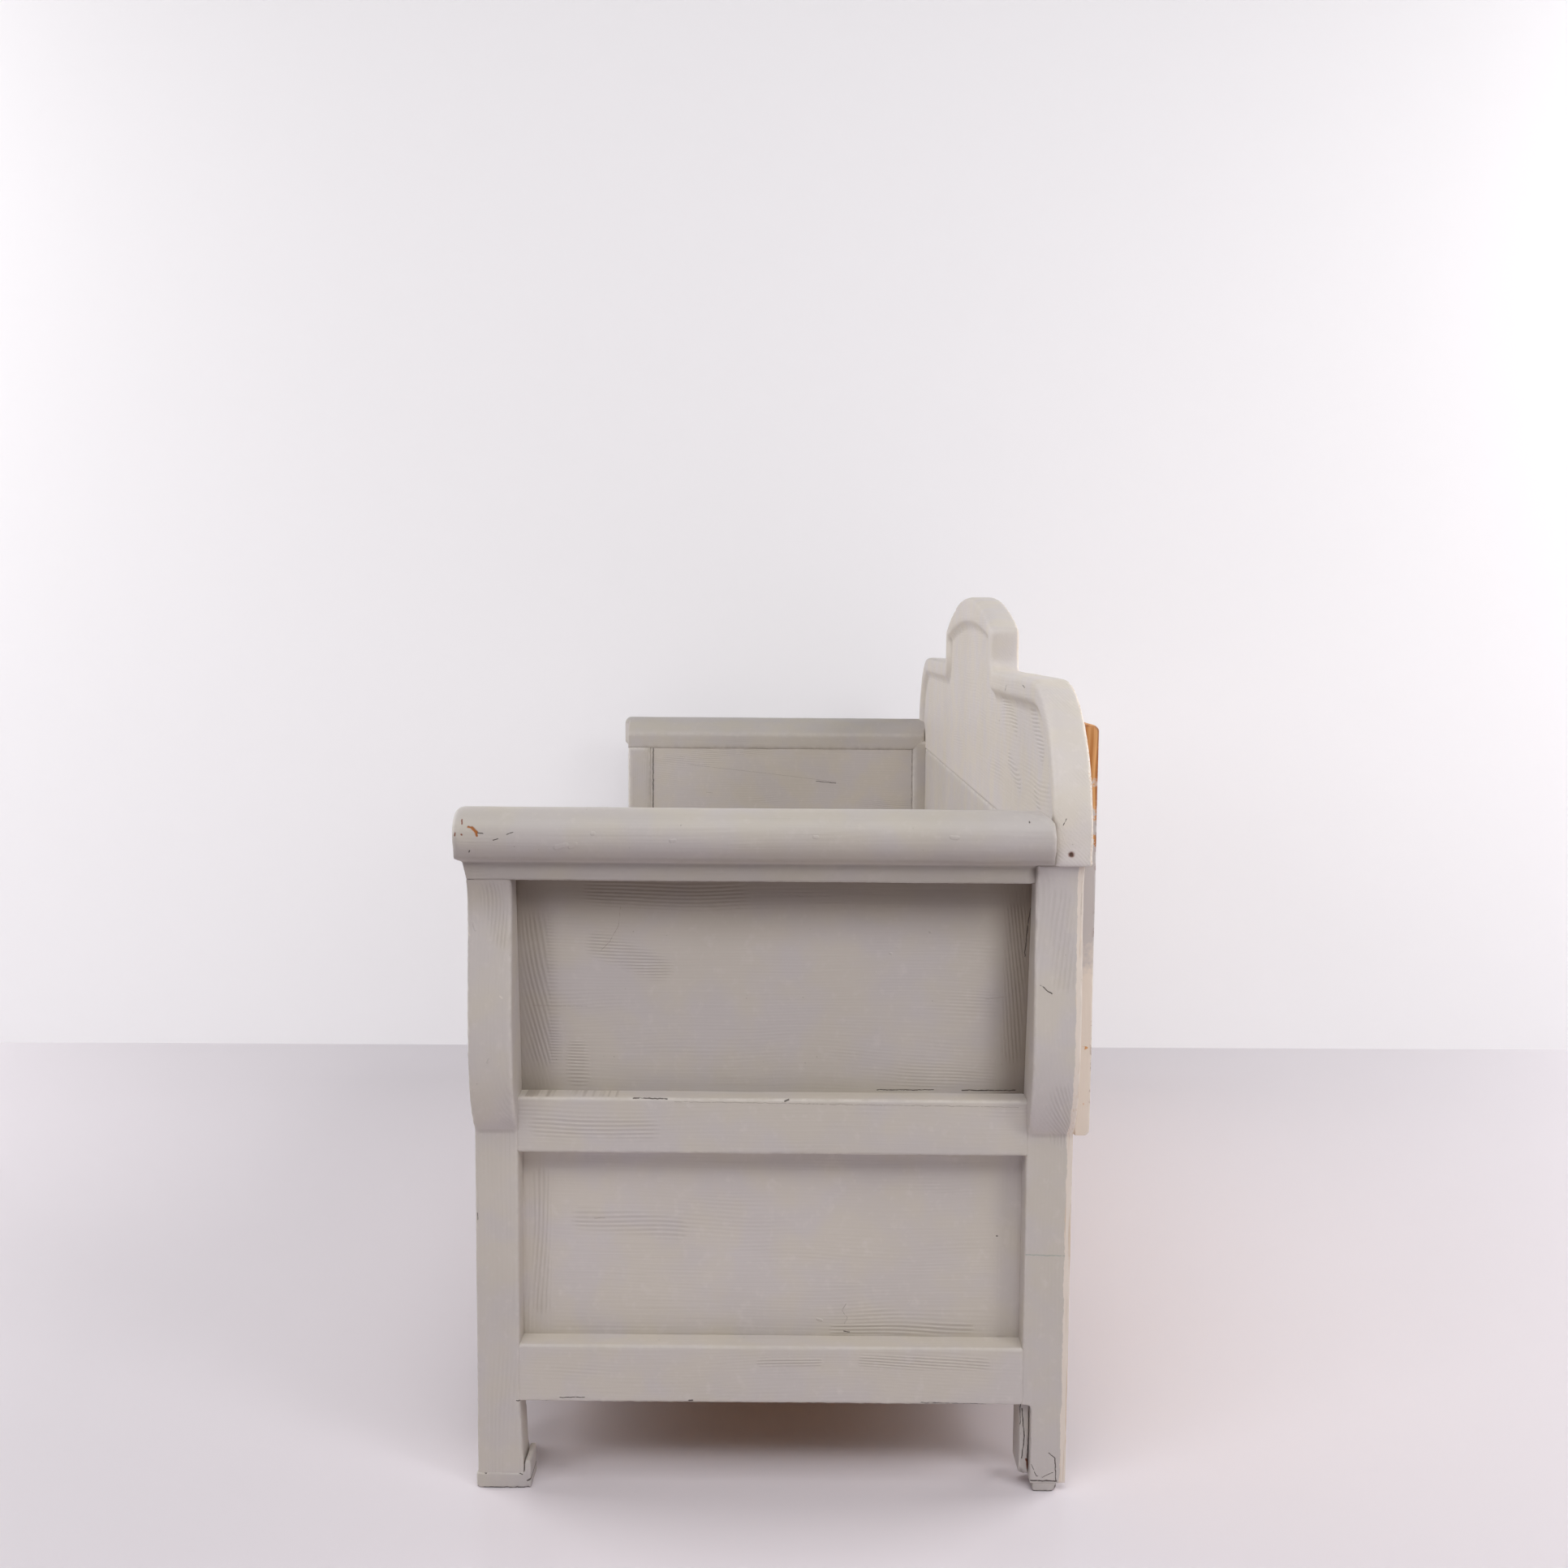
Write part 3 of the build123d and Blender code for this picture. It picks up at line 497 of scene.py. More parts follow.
    # cracks, chips and the like
    for kind, (height, share, under) in MARK_LOOKS.items():
        mask = mark_mask(kind)
        if mask:
            relief = node("Math.MULTIPLY_ADD", mask, height, relief)
            if under:
                coats.append((node("Math.MULTIPLY", mask, share), getattr(paint, under)[:]))
    if primed_rear is not None:
        # the side to the wall has only a thin cream primer, rubbed through to aged pine in streaks
        ragged = node("Math.MULTIPLY_ADD", wear, 0.005, apart["Y"])
        bare = node("Math.MULTIPLY", node("MapRange", bristles, 0.56, 0.7), broad)
        primer = node("Mix", bare, timber.cream[:], timber.raw_light[:], data_type="RGBA")
        coats.append((node("MapRange", ragged, primed_rear, primed_rear + 0.6 * MM), primer))
    gloss = node("MapRange", lumps, 0.3, 0.7, 0.42, 0.56)
    sheen = {"Roughness": gloss, "IOR": 1.48, "Specular IOR Level": 0.4}
    return close_material(material, node, with_painted_light(paint.warm), coats, relief, **sheen)


def planed_pine(name, grain, light, dark, primer_below=None):
    """Planed pine, left bare and browned by air and light.
    It gives the eye long growth rings in two tones, a dry satin sheen and a slightly furred grain."""
    paint, timber = bpy.context.scene.bench_paint, bpy.context.scene.bench_timber
    material, node, place = new_material(name)
    scale = grain_scale(grain, 1.0 / timber.ring_pitch, 0.014 / timber.ring_pitch)
    growth = node("Mapping", Vector=shaken(node, place, 6.0, 0.02), Scale=scale)
    rings = node("TexNoise", Vector=growth, Scale=0.55)
    rings = node("MapRange", rings, 0.38, 0.64, interpolation_type="SMOOTHSTEP")
    fibres = node("Mapping", Vector=place, Scale=grain_scale(grain, 900.0, 22.0))
    fibres = node("TexNoise", Vector=fibres, Scale=1.0)
    stain = node("TexNoise", Vector=place, Scale=4.0, Detail=4.0, Roughness=0.65)
    coats = [(rings, dark[:]), (node("MapRange", stain, 0.45, 0.8, 0.0, 0.5), dark[:])]
    relief = node("Math.MULTIPLY_ADD", fibres, 0.08, node("Math.MULTIPLY", rings, 0.10))
    if primer_below is not None:
        # thin cream primer from the boards carried over the lower part, flaked off in patches
        flakes = node("TexNoise", Vector=place, Scale=38.0, Detail=4.0, Roughness=0.65)
        ragged = node("Math.MULTIPLY_ADD", flakes, 0.16, node("SeparateXYZ", place).outputs["Z"])
        cover = node("MapRange", ragged, primer_below + 0.09, primer_below + 0.07)
        cover = node("Math.MULTIPLY", cover, node("MapRange", flakes, 0.66, 0.63))
        relief = node("Math.MULTIPLY_ADD", cover, 0.15, relief)
        # the paint of the boards reached the batten behind the seat back
        grey = node("MapRange", ragged, primer_below - 0.12, primer_below - 0.08)
        grey = node("Math.MULTIPLY", grey, cover)
        # edges knocked through to the brown wood
        arris = node("Attribute", attribute_name="arris").outputs["Fac"]
        knocked = node("MapRange", flakes, 0.52, 0.56, 0.0, 0.85)
        knocked = node("Math.MULTIPLY", arris, knocked, use_clamp=True)
        coats += [(cover, timber.cream[:]), (grey, paint.body[:]), (knocked, paint.rust[:])]
    sheen = {"Roughness": 0.62, "Specular IOR Level": 0.35}
    return close_material(material, node, light[:], coats, relief, **sheen)


def wrought_iron():
    """Wrought iron, hammered hot and left with its black scale.
    It gives the eye a dull dark sheen broken by hammer dimples and by rust in the scale."""
    timber = bpy.context.scene.bench_timber
    material, node, place = new_material("blackened_wrought_iron")
    dimples = node("TexVoronoi", Vector=place, Scale=160.0, feature="SMOOTH_F1")
    scale = node("TexNoise", Vector=place, Scale=320.0, Detail=4.0, Roughness=0.7)
    rust = node("MapRange", scale, 0.5, 0.68)
    relief = node("Math.MULTIPLY_ADD", dimples, 0.25, scale)
    coats = [(rust, timber.iron_rust[:])]
    clean_and_rusty = {"Roughness": (0.42, 0.85), "Metallic": (0.85, 0.1)}
    sheen = {key: node("MapRange", rust, 0.0, 1.0, *ends) for key, ends in clean_and_rusty.items()}
    return close_material(material, node, timber.iron[:], coats, relief, 0.15 * MM, **sheen)


# The painted finishes: the end of the material's name, the direction of the grain, and what sets each apart.
# each painted_light_gain draws its piece lighter or darker as painted light, in part as rubbed paint
PAINTED = {
    "paint_x": ("grain_x", "X", {}),
    "paint_y": ("grain_y", "Y", {}),
    "paint_z": ("grain_z", "Z", {}),
    # the arm's cove under the roll is darkened with painted shade
    "arm": ("right_arm", "Y", dict(
        marks=ARM_MARKS, ridges=0.5, lumpy=1.7, painted_light_gain=0.96, dust_and_shade=[("Z", 0.704, 0.674, 0.30)]
    )),
    "far_arm": ("left_arm", "Y", dict(ridges=0.35, painted_light_gain=0.95)),
    # the upper panel is darkened with painted shade under the arm and in strips beside both stiles
    "upper_panel": ("upper_panel", "Y", dict(
        marks=UPPER_PANEL_MARKS, lumpy=0.6, painted_light_gain=0.98, upright_sides=(-0.244, 0.224),
        dust_and_shade=[("Z", 0.575, 0.655, 0.80), ("Y", 0.205, 0.248, 0.75), ("Y", -0.228, -0.262, 0.40)],
    )),
    "lower_panel": ("lower_panel", "Y", dict(
        marks=LOWER_PANEL_MARKS, lumpy=0.6, painted_light_gain=1.12, upright_sides=(-0.244, 0.232)
    )),
    "mid_rail": ("mid_rail", "Y", dict(marks=MID_RAIL_MARKS, painted_light_gain=1.04)),
    "lower_rail": ("lower_rail", "Y", dict(marks=LOWER_RAIL_MARKS, painted_light_gain=1.1)),
    "rear_stile": ("rear_stile", "Z", dict(marks=REAR_STILE_MARKS, painted_light_gain=1.06, primed_rear=0.2995)),
    # the front stile's top is darkened with painted shade under the arm
    "front_stile": ("front_stile", "Z", dict(
        marks=FRONT_STILE_MARKS, painted_light_gain=1.06, dust_and_shade=[("Z", 0.60, 0.655, 0.32)]
    )),
    "far_panel": ("far_panel", "Y", dict(marks=FAR_PANEL_MARKS, painted_light_gain=1.08)),
    "crest": ("crest", "X", dict(
        marks=CREST_END_MARKS, front_marks=CREST_FRONT_MARKS, painted_light_gain=1.24, primed_rear=0.3098
    )),
    "block": ("block", "Z", dict(marks=BLOCK_MARKS)),
    "pad": ("pad", "Y", dict(marks=PAD_MARKS)),
    "shoe": ("shoe", "Y", dict(marks=SHOE_MARKS)),
    "back": ("back", "X", dict(ridges=0.8, painted_light_gain=1.04, primed_rear=0.3035)),
}
MATERIALS = {}


def finish_of(name):
    """The named finish, made once."""
    if name not in MATERIALS:
        timber = bpy.context.scene.bench_timber
        if name in PAINTED:
            label, grain, settings = PAINTED[name]
            made = old_paint("oil_paint_" + label, grain, **settings)
        elif name == "iron":
            made = wrought_iron()
        elif name == "amber":
            tones = timber.amber_light, timber.amber_dark
            made = planed_pine("aged_pine_battens", "Z", *tones, primer_below=0.74)
        else:
            grain = name[-1]
            made = planed_pine("raw_pine_grain_" + grain, grain.upper(), timber.raw_light, timber.raw_dark)
        MATERIALS[name] = made
    return MATERIALS[name]


# ---------------------------------------------------------------- meshes


def new_object(name, mesh):
    """A new object of a mesh, linked to the scene."""
    made = bpy.data.objects.new(name, mesh)
    bpy.context.scene.collection.objects.link(made)
    return made


def cad_copy(name, node):
    """A new object with a merged copy of a CAD node's mesh."""
    work = bmesh.new()
    work.from_mesh(NODES[node].data)
    bmesh.ops.remove_doubles(work, verts=work.verts, dist=1e-6)
    mesh = bpy.data.meshes.new(name)
    work.to_mesh(mesh)
    work.free()
    return new_object(name, mesh)


def values_of(items, label, width, kind=np.float32):
    """One row of values for each item of a mesh."""
    values = np.empty(len(items) * width, kind)
    items.foreach_get(label, values)
    return values.reshape(-1, width)


def points_of(mesh):
    return values_of(mesh.vertices, "co", 3).astype(float)


def set_points(mesh, place):
    mesh.vertices.foreach_set("co", place.astype(np.float32).ravel())
    mesh.update()


def take_evaluated(made):
    """Replaces an object's mesh by its evaluated one and drops its modifiers."""
    graph = bpy.context.evaluated_depsgraph_get()
    mesh = bpy.data.meshes.new_from_object(made.evaluated_get(graph))
    old = made.data
    made.modifiers.clear()
    made.data = mesh
    bpy.data.meshes.remove(old)
    mesh.name = made.name
    return mesh


def neighbour_mean(values, edges, degree):
    """The mean of each point's neighbours, for each column of values."""
    total = np.empty_like(values)
    one, other = edges.T
    for column in range(values.shape[1]):
        total[:, column] = np.bincount(one, values[other, column], len(values))
        total[:, column] += np.bincount(other, values[one, column], len(values))
    return total / degree[:, None]


WAVES = 7
WAVE_LIMIT = 3.2  # where the sum of the waves is cut off


def waves(place, span, seed):
    """Smooth, repeatable unevenness between -1 and 1, about span long."""
    turn = np.random.RandomState(seed)
    total = np.zeros(len(place))
    for _ in range(WAVES):
        direction = turn.normal(size=3)
        direction /= np.linalg.norm(direction)
        pitch = span * turn.uniform(0.6, 1.6)
        total += np.sin(place @ direction * 2 * math.pi / pitch + turn.uniform(0, 2 * math.pi))
    return np.clip(total / WAVE_LIMIT, -1, 1)


LEAST_BEND, BEND_SPAN = 0.02, 0.10  # where an edge or a corner begins to count as one, and how fast it does
HELD_DIP = 0.15  # the share of the dips that reaches a held edge


def worn_copy(name, node, grain, reaches=(), held=(), seed=0, shape=None):
    """A hand-worked, worn version of a CAD node: soft uneven edges and slightly hollow faces.
    reaches: (axis, plane, move) runs the part beyond a plane further, into its neighbour.
    held: boxes (low, high) where edges meet flush and stay sharp."""
    surface = bpy.context.scene.bench_surface
    made = cad_copy(name, node)
    place = points_of(made.data)
    for axis, plane, move in reaches:
        beyond = place[:, axis] > plane if move > 0 else place[:, axis] < plane
        place[beyond, axis] += move
    set_points(made.data, place)
    remesh = made.modifiers.new("grain", "REMESH")
    remesh.mode = "VOXEL"
    remesh.voxel_size = grain
    remesh.use_smooth_shade = True
    mesh = take_evaluated(made)
    place = points_of(mesh)
    edges = values_of(mesh.edges, "vertices", 2, np.int32)
    degree = np.maximum(np.bincount(edges.ravel(), minlength=len(place)), 1)
    free = np.ones(len(place))
    for low, high in held:
        free[np.all((place > np.array(low)) & (place < np.array(high)), axis=1)] = 0.0
    for _ in range(surface.softening):
        place += 0.5 * (neighbour_mean(place, edges, degree) - place) * free[:, None]
    set_points(mesh, place)
    normal = values_of(mesh.vertices, "normal", 3).astype(float)
    bend = ((place - neighbour_mean(place, edges, degree)) * normal).sum(1, keepdims=True) / grain
    for _ in range(2):
        bend = (bend + neighbour_mean(bend, edges, degree)) / 2
    arris, hollow = [np.clip((way * bend[:, 0] - LEAST_BEND) / BEND_SPAN, 0, 1) for way in (1, -1)]
    # long dips everywhere and short ones on the worn edges, as (span, share, where)
    dips = ((0.11, 0.7, 1), (0.035, 0.3, 1), (0.013, 1.3, arris), (0.006, 0.9, arris))
    dip = np.zeros(len(place))
    for step, (span, share, where) in enumerate(dips):
        dip += where * surface.waviness * (0.5 + 0.5 * waves(place, span, seed + step)) * share
    place -= normal * (dip * np.where(free > 0, 1.0, HELD_DIP))[:, None]
    if shape:
        place = shape(place, normal)
    set_points(mesh, place)
    for label, values in (("arris", arris), ("hollow", hollow)):
        layer = mesh.attributes.new(label, "FLOAT", "POINT")
        layer.data.foreach_set("value", values.astype(np.float32))
    return made


def eased_copy(name, node, easing=None):
    """A sawn and planed version of a CAD node, with its edges eased."""
    surface = bpy.context.scene.bench_surface
    made = cad_copy(name, node)
    work = bmesh.new()
    work.from_mesh(made.data)
    bmesh.ops.dissolve_limit(work, angle_limit=math.radians(1.0), verts=work.verts, edges=work.edges)
    work.to_mesh(made.data)
    work.free()
    bevel = made.modifiers.new("easing", "BEVEL")
    bevel.width = surface.easing if easing is None else easing
    bevel.segments = 3
    bevel.limit_method = "ANGLE"
    bevel.angle_limit = math.radians(35)
    take_evaluated(made)
    for face in made.data.polygons:
        face.use_smooth = True
    made.data.set_sharp_from_angle(angle=math.radians(40))
    return made


def place_piece(made, node, finish):
    """Gives a piece its finish and its body, and lets it stand for its CAD node."""
    made.data.materials.clear()
    made.data.materials.append(finish_of(finish))
    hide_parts(node)
    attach(made, BODY_OF[node])
    return made


def painted_piece(node, finish, grain, **wear):
    """A worn piece in old paint."""
    place_piece(worn_copy(f"painted_{node}", node, grain, **wear), node, finish)


def planed_piece(node, finish):
    """A piece of raw pine with eased edges."""
    place_piece(eased_copy(f"planed_{node}", node), node, finish)


BITE = 0.9  # how much of a ball is broken away


def bites(spots):
    """Moves points out of small balls, as where wood has broken away: (x, y, z, radius) in millimetres."""

    def cut(place, normal):
        for x, y, z, radius in spots:
            centre = np.array((x, y, z)) * MM
            apart = place - centre
            far = np.linalg.norm(apart, axis=1)
            near = far < radius * MM
            place[near] = place[near] - normal[near] * (radius * MM - far[near])[:, None] * BITE
        return place

    return cut


# ---------------------------------------------------------------- operators


class BENCH_OT_end_frames(bpy.types.Operator):
    """Makes the stiles, rails and panels of both ends"""

    bl_idname = "bench.end_frames"
    bl_label = "End frames"

    def execute(self, context):
        surface = context.scene.bench_surface
        tenon = surface.tenon
        ends = [(Y, 0.25, tenon), (Y, -0.27, -tenon)]
        # each part, how it runs into its neighbours, and its finish at the far end; the near one has its own
        jobs = (
            ("front_stile", [(Z, 0.60, tenon), (Z, 0.018, -tenon)], "paint_z"),
            ("rear_stile", [(Z, 0.60, surface.stile_top), (Z, 0.0125, -tenon)], "paint_z"),
            ("lower_rail", ends, "paint_y"),
            ("mid_rail", ends, "paint_y"),
            ("lower_panel", ends + [(Z, 0.36, tenon), (Z, 0.16, -tenon)], "paint_y"),
            ("upper_panel", ends + [(Z, 0.60, surface.panel_top), (Z, 0.426, -tenon)], "far_panel"),
        )
        for side in SIDES:
            near = side == "right"
            grain = surface.near_grain if near else surface.far_grain
            for order, (part, reaches, far_finish) in enumerate(jobs):
                node = f"{side}_{part}"
                shape = filled_panel if part == "upper_panel" else None
                seed = 10 * order + (0 if near else 100)
                finish = part if near else far_finish
                painted_piece(node, finish, grain, reaches=reaches, seed=seed, shape=shape)
            for part in ("bed_runner", "seat_cleat"):
                planed_piece(f"{side}_{part}", "raw_y")
        return {"FINISHED"}


def arm_top_profile(node):
    """The height of an arm's top over its width, away from its ends: places across and heights."""
    mesh = NODES[node].data
    tree = BVHTree.FromPolygons([v.co[:] for v in mesh.vertices], [f.vertices[:] for f in mesh.polygons])
    low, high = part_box(node)
    inset, samples = 0.2 * MM, 60
    across = np.linspace(low.x + inset, high.x - inset, samples)
    heights = [tree.ray_cast(Vector((x, 0.0, high.z + 1.0)), Vector((0, 0, -1)))[0].z for x in across]
    return across, np.array(heights)


def arm_shape(node, round_near, rear_end):
    """Sets the cove in under the roll, cuts its front end back to the stile and squares up the rear end.
    round_near: the rear end's rounding; rear_end: the Y at which it stops."""
    across, heights = arm_top_profile(node)
    low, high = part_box(node)
    lip = low.z + 21 * MM
    middle, squash = low.z + 49 * MM, 0.89
    round_far, nose = 34 * MM, 7 * MM
    rear, run = 271.5 * MM, 12 * MM
    centre = np.array((rear - round_far, high.z - round_far))
    flat = round_far - round_near
    # the outer face's X and the front end's Y, over the height
    cove_levels = (low.z, lip - 1.5 * MM, lip + 0.8 * MM, lip + 4 * MM)
    cove_faces = (0.8955, 0.8975, 0.9035, 0.9105)
    front_levels, front_ends = (low.z, lip - 1.0 * MM, lip + 1.0 * MM), (-0.3192, -0.3235, -0.3305)
    stile_face, stile_rear = 0.886, 0.246
    inner_front, inner_edge = -0.3205, 0.862

    def reshape(place, normal):
        outward = np.abs(place[:, X])
        sign = np.sign(place[:, X])
        # rear end: a tighter round, no higher than the roll
        at_end = (place[:, Y] > centre[0]) & (place[:, Z] > centre[1])
        apart = place[at_end][:, 1:] - centre
        far = np.linalg.norm(apart, axis=1)
        way = apart / np.maximum(far, 1e-9)[:, None]
        reach = round_far / np.maximum(way, 1e-9).max(axis=1)
        inner = flat * (way[:, 0] + way[:, 1])
        curved = inner + np.sqrt(np.maximum(inner * inner - 2 * flat * flat + round_near * round_near, 0.0))
        on_round = np.minimum(reach * way[:, 0], reach * way[:, 1]) > flat
        reach = np.where(on_round, curved, reach)
        moved = centre + apart * (reach / round_far)[:, None]
        place[at_end, Y] = moved[:, 0]
        top = np.interp(place[at_end, X], across, heights) - 0.3 * MM
        place[at_end, Z] = np.minimum(moved[:, 1], top)
        if rear_end > rear + MM:
            short = (place[:, Z] > lip) & (place[:, Y] > rear - run) & (outward < 0.893)
            past = place[short, Y] - rear + run
            place[short, Y] = rear - run + past * (rear_end - rear + run) / run
        # the top sits a little lower than the block it was cut from
        over = place[:, Z] > middle
        place[over, Z] = middle + (place[over, Z] - middle) * squash
        # cove below the lip, on the outer side and at the front end
        under = (place[:, Z] < lip + 4 * MM) & (outward > 0.880)
        face = np.interp(place[:, Z], cove_levels, cove_faces)
        flush = np.clip((place[:, Y] - stile_rear) / (8 * MM), 0, 1)
        flush = flush * np.clip((lip - place[:, Z]) / (4 * MM), 0, 1)
        face = face * (1 - flush) + stile_face * flush
        outward = np.where(under, np.minimum(outward, face), outward)
        place[:, X] = sign * outward
        front = np.interp(place[:, Z], front_levels, front_ends)
        front = np.where(outward < inner_edge, inner_front, front)
        place[:, Y] = np.maximum(place[:, Y], front)
        # round lower corner at the front of the roll
        corner = np.array((low.y + nose, lip + nose))
        near = (place[:, Y] < corner[0]) & (place[:, Z] < corner[1]) & (place[:, Z] > lip - 2 * MM)
        apart = place[near][:, 1:] - corner
        far = np.linalg.norm(apart, axis=1)
        place[near, 1:] = corner + apart * np.minimum(nose / np.maximum(far, 1e-9), 1.0)[:, None]
        return place

    return reshape


PANEL_INNER_FACE = 0.8245


def filled_panel(place, normal):
    """Brings a panel's inner side up level, as lined with a flat board."""
    inner = normal[:, X] * np.sign(place[:, X]) < -0.5
    place[inner, X] = np.clip(place[inner, X], -PANEL_INNER_FACE, PANEL_INNER_FACE)
    return place


class BENCH_OT_arms(bpy.types.Operator):
    """Makes the two rolled arms"""

    bl_idname = "bench.arms"
    bl_label = "Arms"

    def execute(self, context):
        surface = context.scene.bench_surface
        jobs = (
            ("right", surface.near_grain, "arm", 15 * MM, 0.2715),
            ("left", surface.far_grain, "far_arm", 3 * MM, 0.2800),
        )
        for order, (side, grain, finish, rounding, rear_end) in enumerate(jobs):
            node = f"{side}_arm_rail"
            shape = arm_shape(node, rounding, rear_end)
            painted_piece(node, finish, grain, seed=61 + 100 * order, shape=shape)
        return {"FINISHED"}


class BENCH_OT_feet(bpy.types.Operator):
    """Makes the shoes, pads and corner blocks at the floor"""

    bl_idname = "bench.feet"
    bl_label = "Feet"

    def execute(self, context):
        grain = context.scene.bench_surface.foot_grain
        broken = {
            "right_front_foot_shoe": [
                (861, -322, 0, 4), (861, -290, 0, 2.5), (861, -268, 0, 3.5), (861, -279, 1, 2),
            ],
            "right_rear_foot_pad": [(859, 294.5, 0, 5), (859, 268.5, 0, 3), (859, 283, 0, 2.2)],
            "right_rear_corner_block": [
                (850, 256, 16, 6), (850, 263, 14, 4), (850, 270, 15, 5), (850, 256, 60, 2.5),
            ],
        }
        finishes = {"front_foot_shoe": "shoe", "rear_foot_pad": "pad", "rear_corner_block": "block"}
        for side in SIDES:
            for order, part in enumerate(finishes):
                node = f"{side}_{part}"
                shape = bites(broken.get(node, ()))
                painted_piece(node, finishes[part], grain, seed=70 + order, shape=shape)
        return {"FINISHED"}


class BENCH_OT_back(bpy.types.Operator):
    """Makes the arched crest board and the plain board below it"""

    bl_idname = "bench.back"
    bl_label = "Back"

    def execute(self, context):
        grain = context.scene.bench_surface.board_grain
        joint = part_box("back_crest_board")[0].z
        band = ((-1.0, 0.2, joint - 6 * MM), (1.0, 0.4, joint + 6 * MM))
        jobs = (("back_crest_board", "crest", 0.8 * grain), ("back_lower_board", "back", grain))
        for order, (node, finish, grain) in enumerate(jobs):
            painted_piece(node, finish, grain, held=[band], seed=80 + order)
        return {"FINISHED"}


def nail_head_tree():
    """Forged nail heads on the points it is given: low faceted cones, turned about at random."""
    if "forged_nail_heads" in bpy.data.node_groups:
        return bpy.data.node_groups["forged_nail_heads"]
    inputs = {"Points": "Geometry", "Head Radius": "Float", "Head Height": "Float", "Facets": "Int",
              "Facing": "Vector", "Seed": "Int", "Iron": "Material"}
    tree, node, given = new_group("forged_nail_heads", "Geometry", inputs, {"Heads": "Geometry"})
    radius = given["Head Radius"]
    sizes = {"Radius Top": node("Math.MULTIPLY", radius, 0.42), "Radius Bottom": radius, "Side Segments": 2}
    head = node("GeometryNodeMeshCone", Vertices=given["Facets"], Depth=given["Head Height"], **sizes)
    turn = node("FunctionNodeRandomValue", 0.0, 2 * math.pi, Seed=given["Seed"], data_type="FLOAT")
    spin = node("CombineXYZ", Z=turn)
    stand = node("FunctionNodeAlignEulerToVector", Rotation=spin, Vector=given["Facing"], axis="Z")
    heads = node("GeometryNodeInstanceOnPoints", Points=given["Points"], Instance=head, Rotation=stand)
    real = node("GeometryNodeRealizeInstances", heads)
    node("NodeGroupOutput", node("GeometryNodeSetMaterial", Geometry=real, Material=given["Iron"]))
    return tree


def nodes_piece(name, tree, values, points=()):
    """Runs a Geometry Nodes tree over a few points and keeps its result as a plain mesh."""
    mesh = bpy.data.meshes.new(name)
    mesh.from_pydata([tuple(p) for p in points], [], [])
    made = new_object(name, mesh)
    modifier = made.modifiers.new(tree.name, "NODES")
    modifier.node_group = tree
    for item in tree.interface.items_tree:
        if item.in_out == "INPUT" and item.name in values:
            modifier[item.identifier] = values[item.name]
    take_evaluated(made)
    if not made.data.polygons:
        raise RuntimeError(f"{name} came out empty")
    return made


def forged_nails(name, points, radius, height, facing, seed):
    """Nails with their heads on the given points."""
    values = {"Head Radius": radius, "Head Height": height, "Facets": bpy.context.scene.bench_nails.facets,
              "Facing": facing, "Seed": seed, "Iron": finish_of("iron")}
    return nodes_piece(name, nail_head_tree(), values, points)


class BENCH_OT_battens(bpy.types.Operator):
    """Makes the three battens behind the back, and their forged nails"""

    bl_idname = "bench.battens"
    bl_label = "Battens and nails"

    def execute(self, context):
        surface, nails = context.scene.bench_surface, context.scene.bench_nails
        for order, place in enumerate(("left", "middle", "right")):
            node = f"back_batten_{place}"
            grain = surface.near_grain if place == "right" else surface.far_grain
            made = worn_copy(f"aged_{node}", node, grain, seed=90 + order)
            place_piece(made, node, "amber")
        low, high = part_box("batten_nails")
        radius, height = nails.head_radius, nails.head_height
        across = (low.x + radius, 0.0, high.x - radius)
        first, last, rows = low.z + radius, high.z - radius, 6
        ups = [first + (last - first) * row / (rows - 1) for row in range(rows)]
        points = [(x, high.y - height, up) for x in across for up in ups]
        made = forged_nails("forged_batten_nails", points, radius, height, (0.0, 1.0, 0.0), 4)
        place_piece(made, "batten_nails", "iron")
        return {"FINISHED"}


class BENCH_OT_bed_front(bpy.types.Operator):
    """Makes the framed front of the pull-out bed"""

    bl_idname = "bench.bed_front"
    bl_label = "Bed front"

    def execute(self, context):
        nodes = [
            "right_bed_front_stile", "left_bed_front_stile", "bed_front_top_rail", "bed_front_bottom_rail",
            "bed_front_muntin_1", "bed_front_muntin_2",
        ]
        nodes += [f"bed_front_panel_{number}" for number in (1, 2, 3)]
        for node in nodes:
            finish = "paint_z" if "stile" in node or "muntin" in node else "paint_x"
            place_piece(eased_copy(f"painted_{node}", node, 1.2 * MM), node, finish)
        return {"FINISHED"}


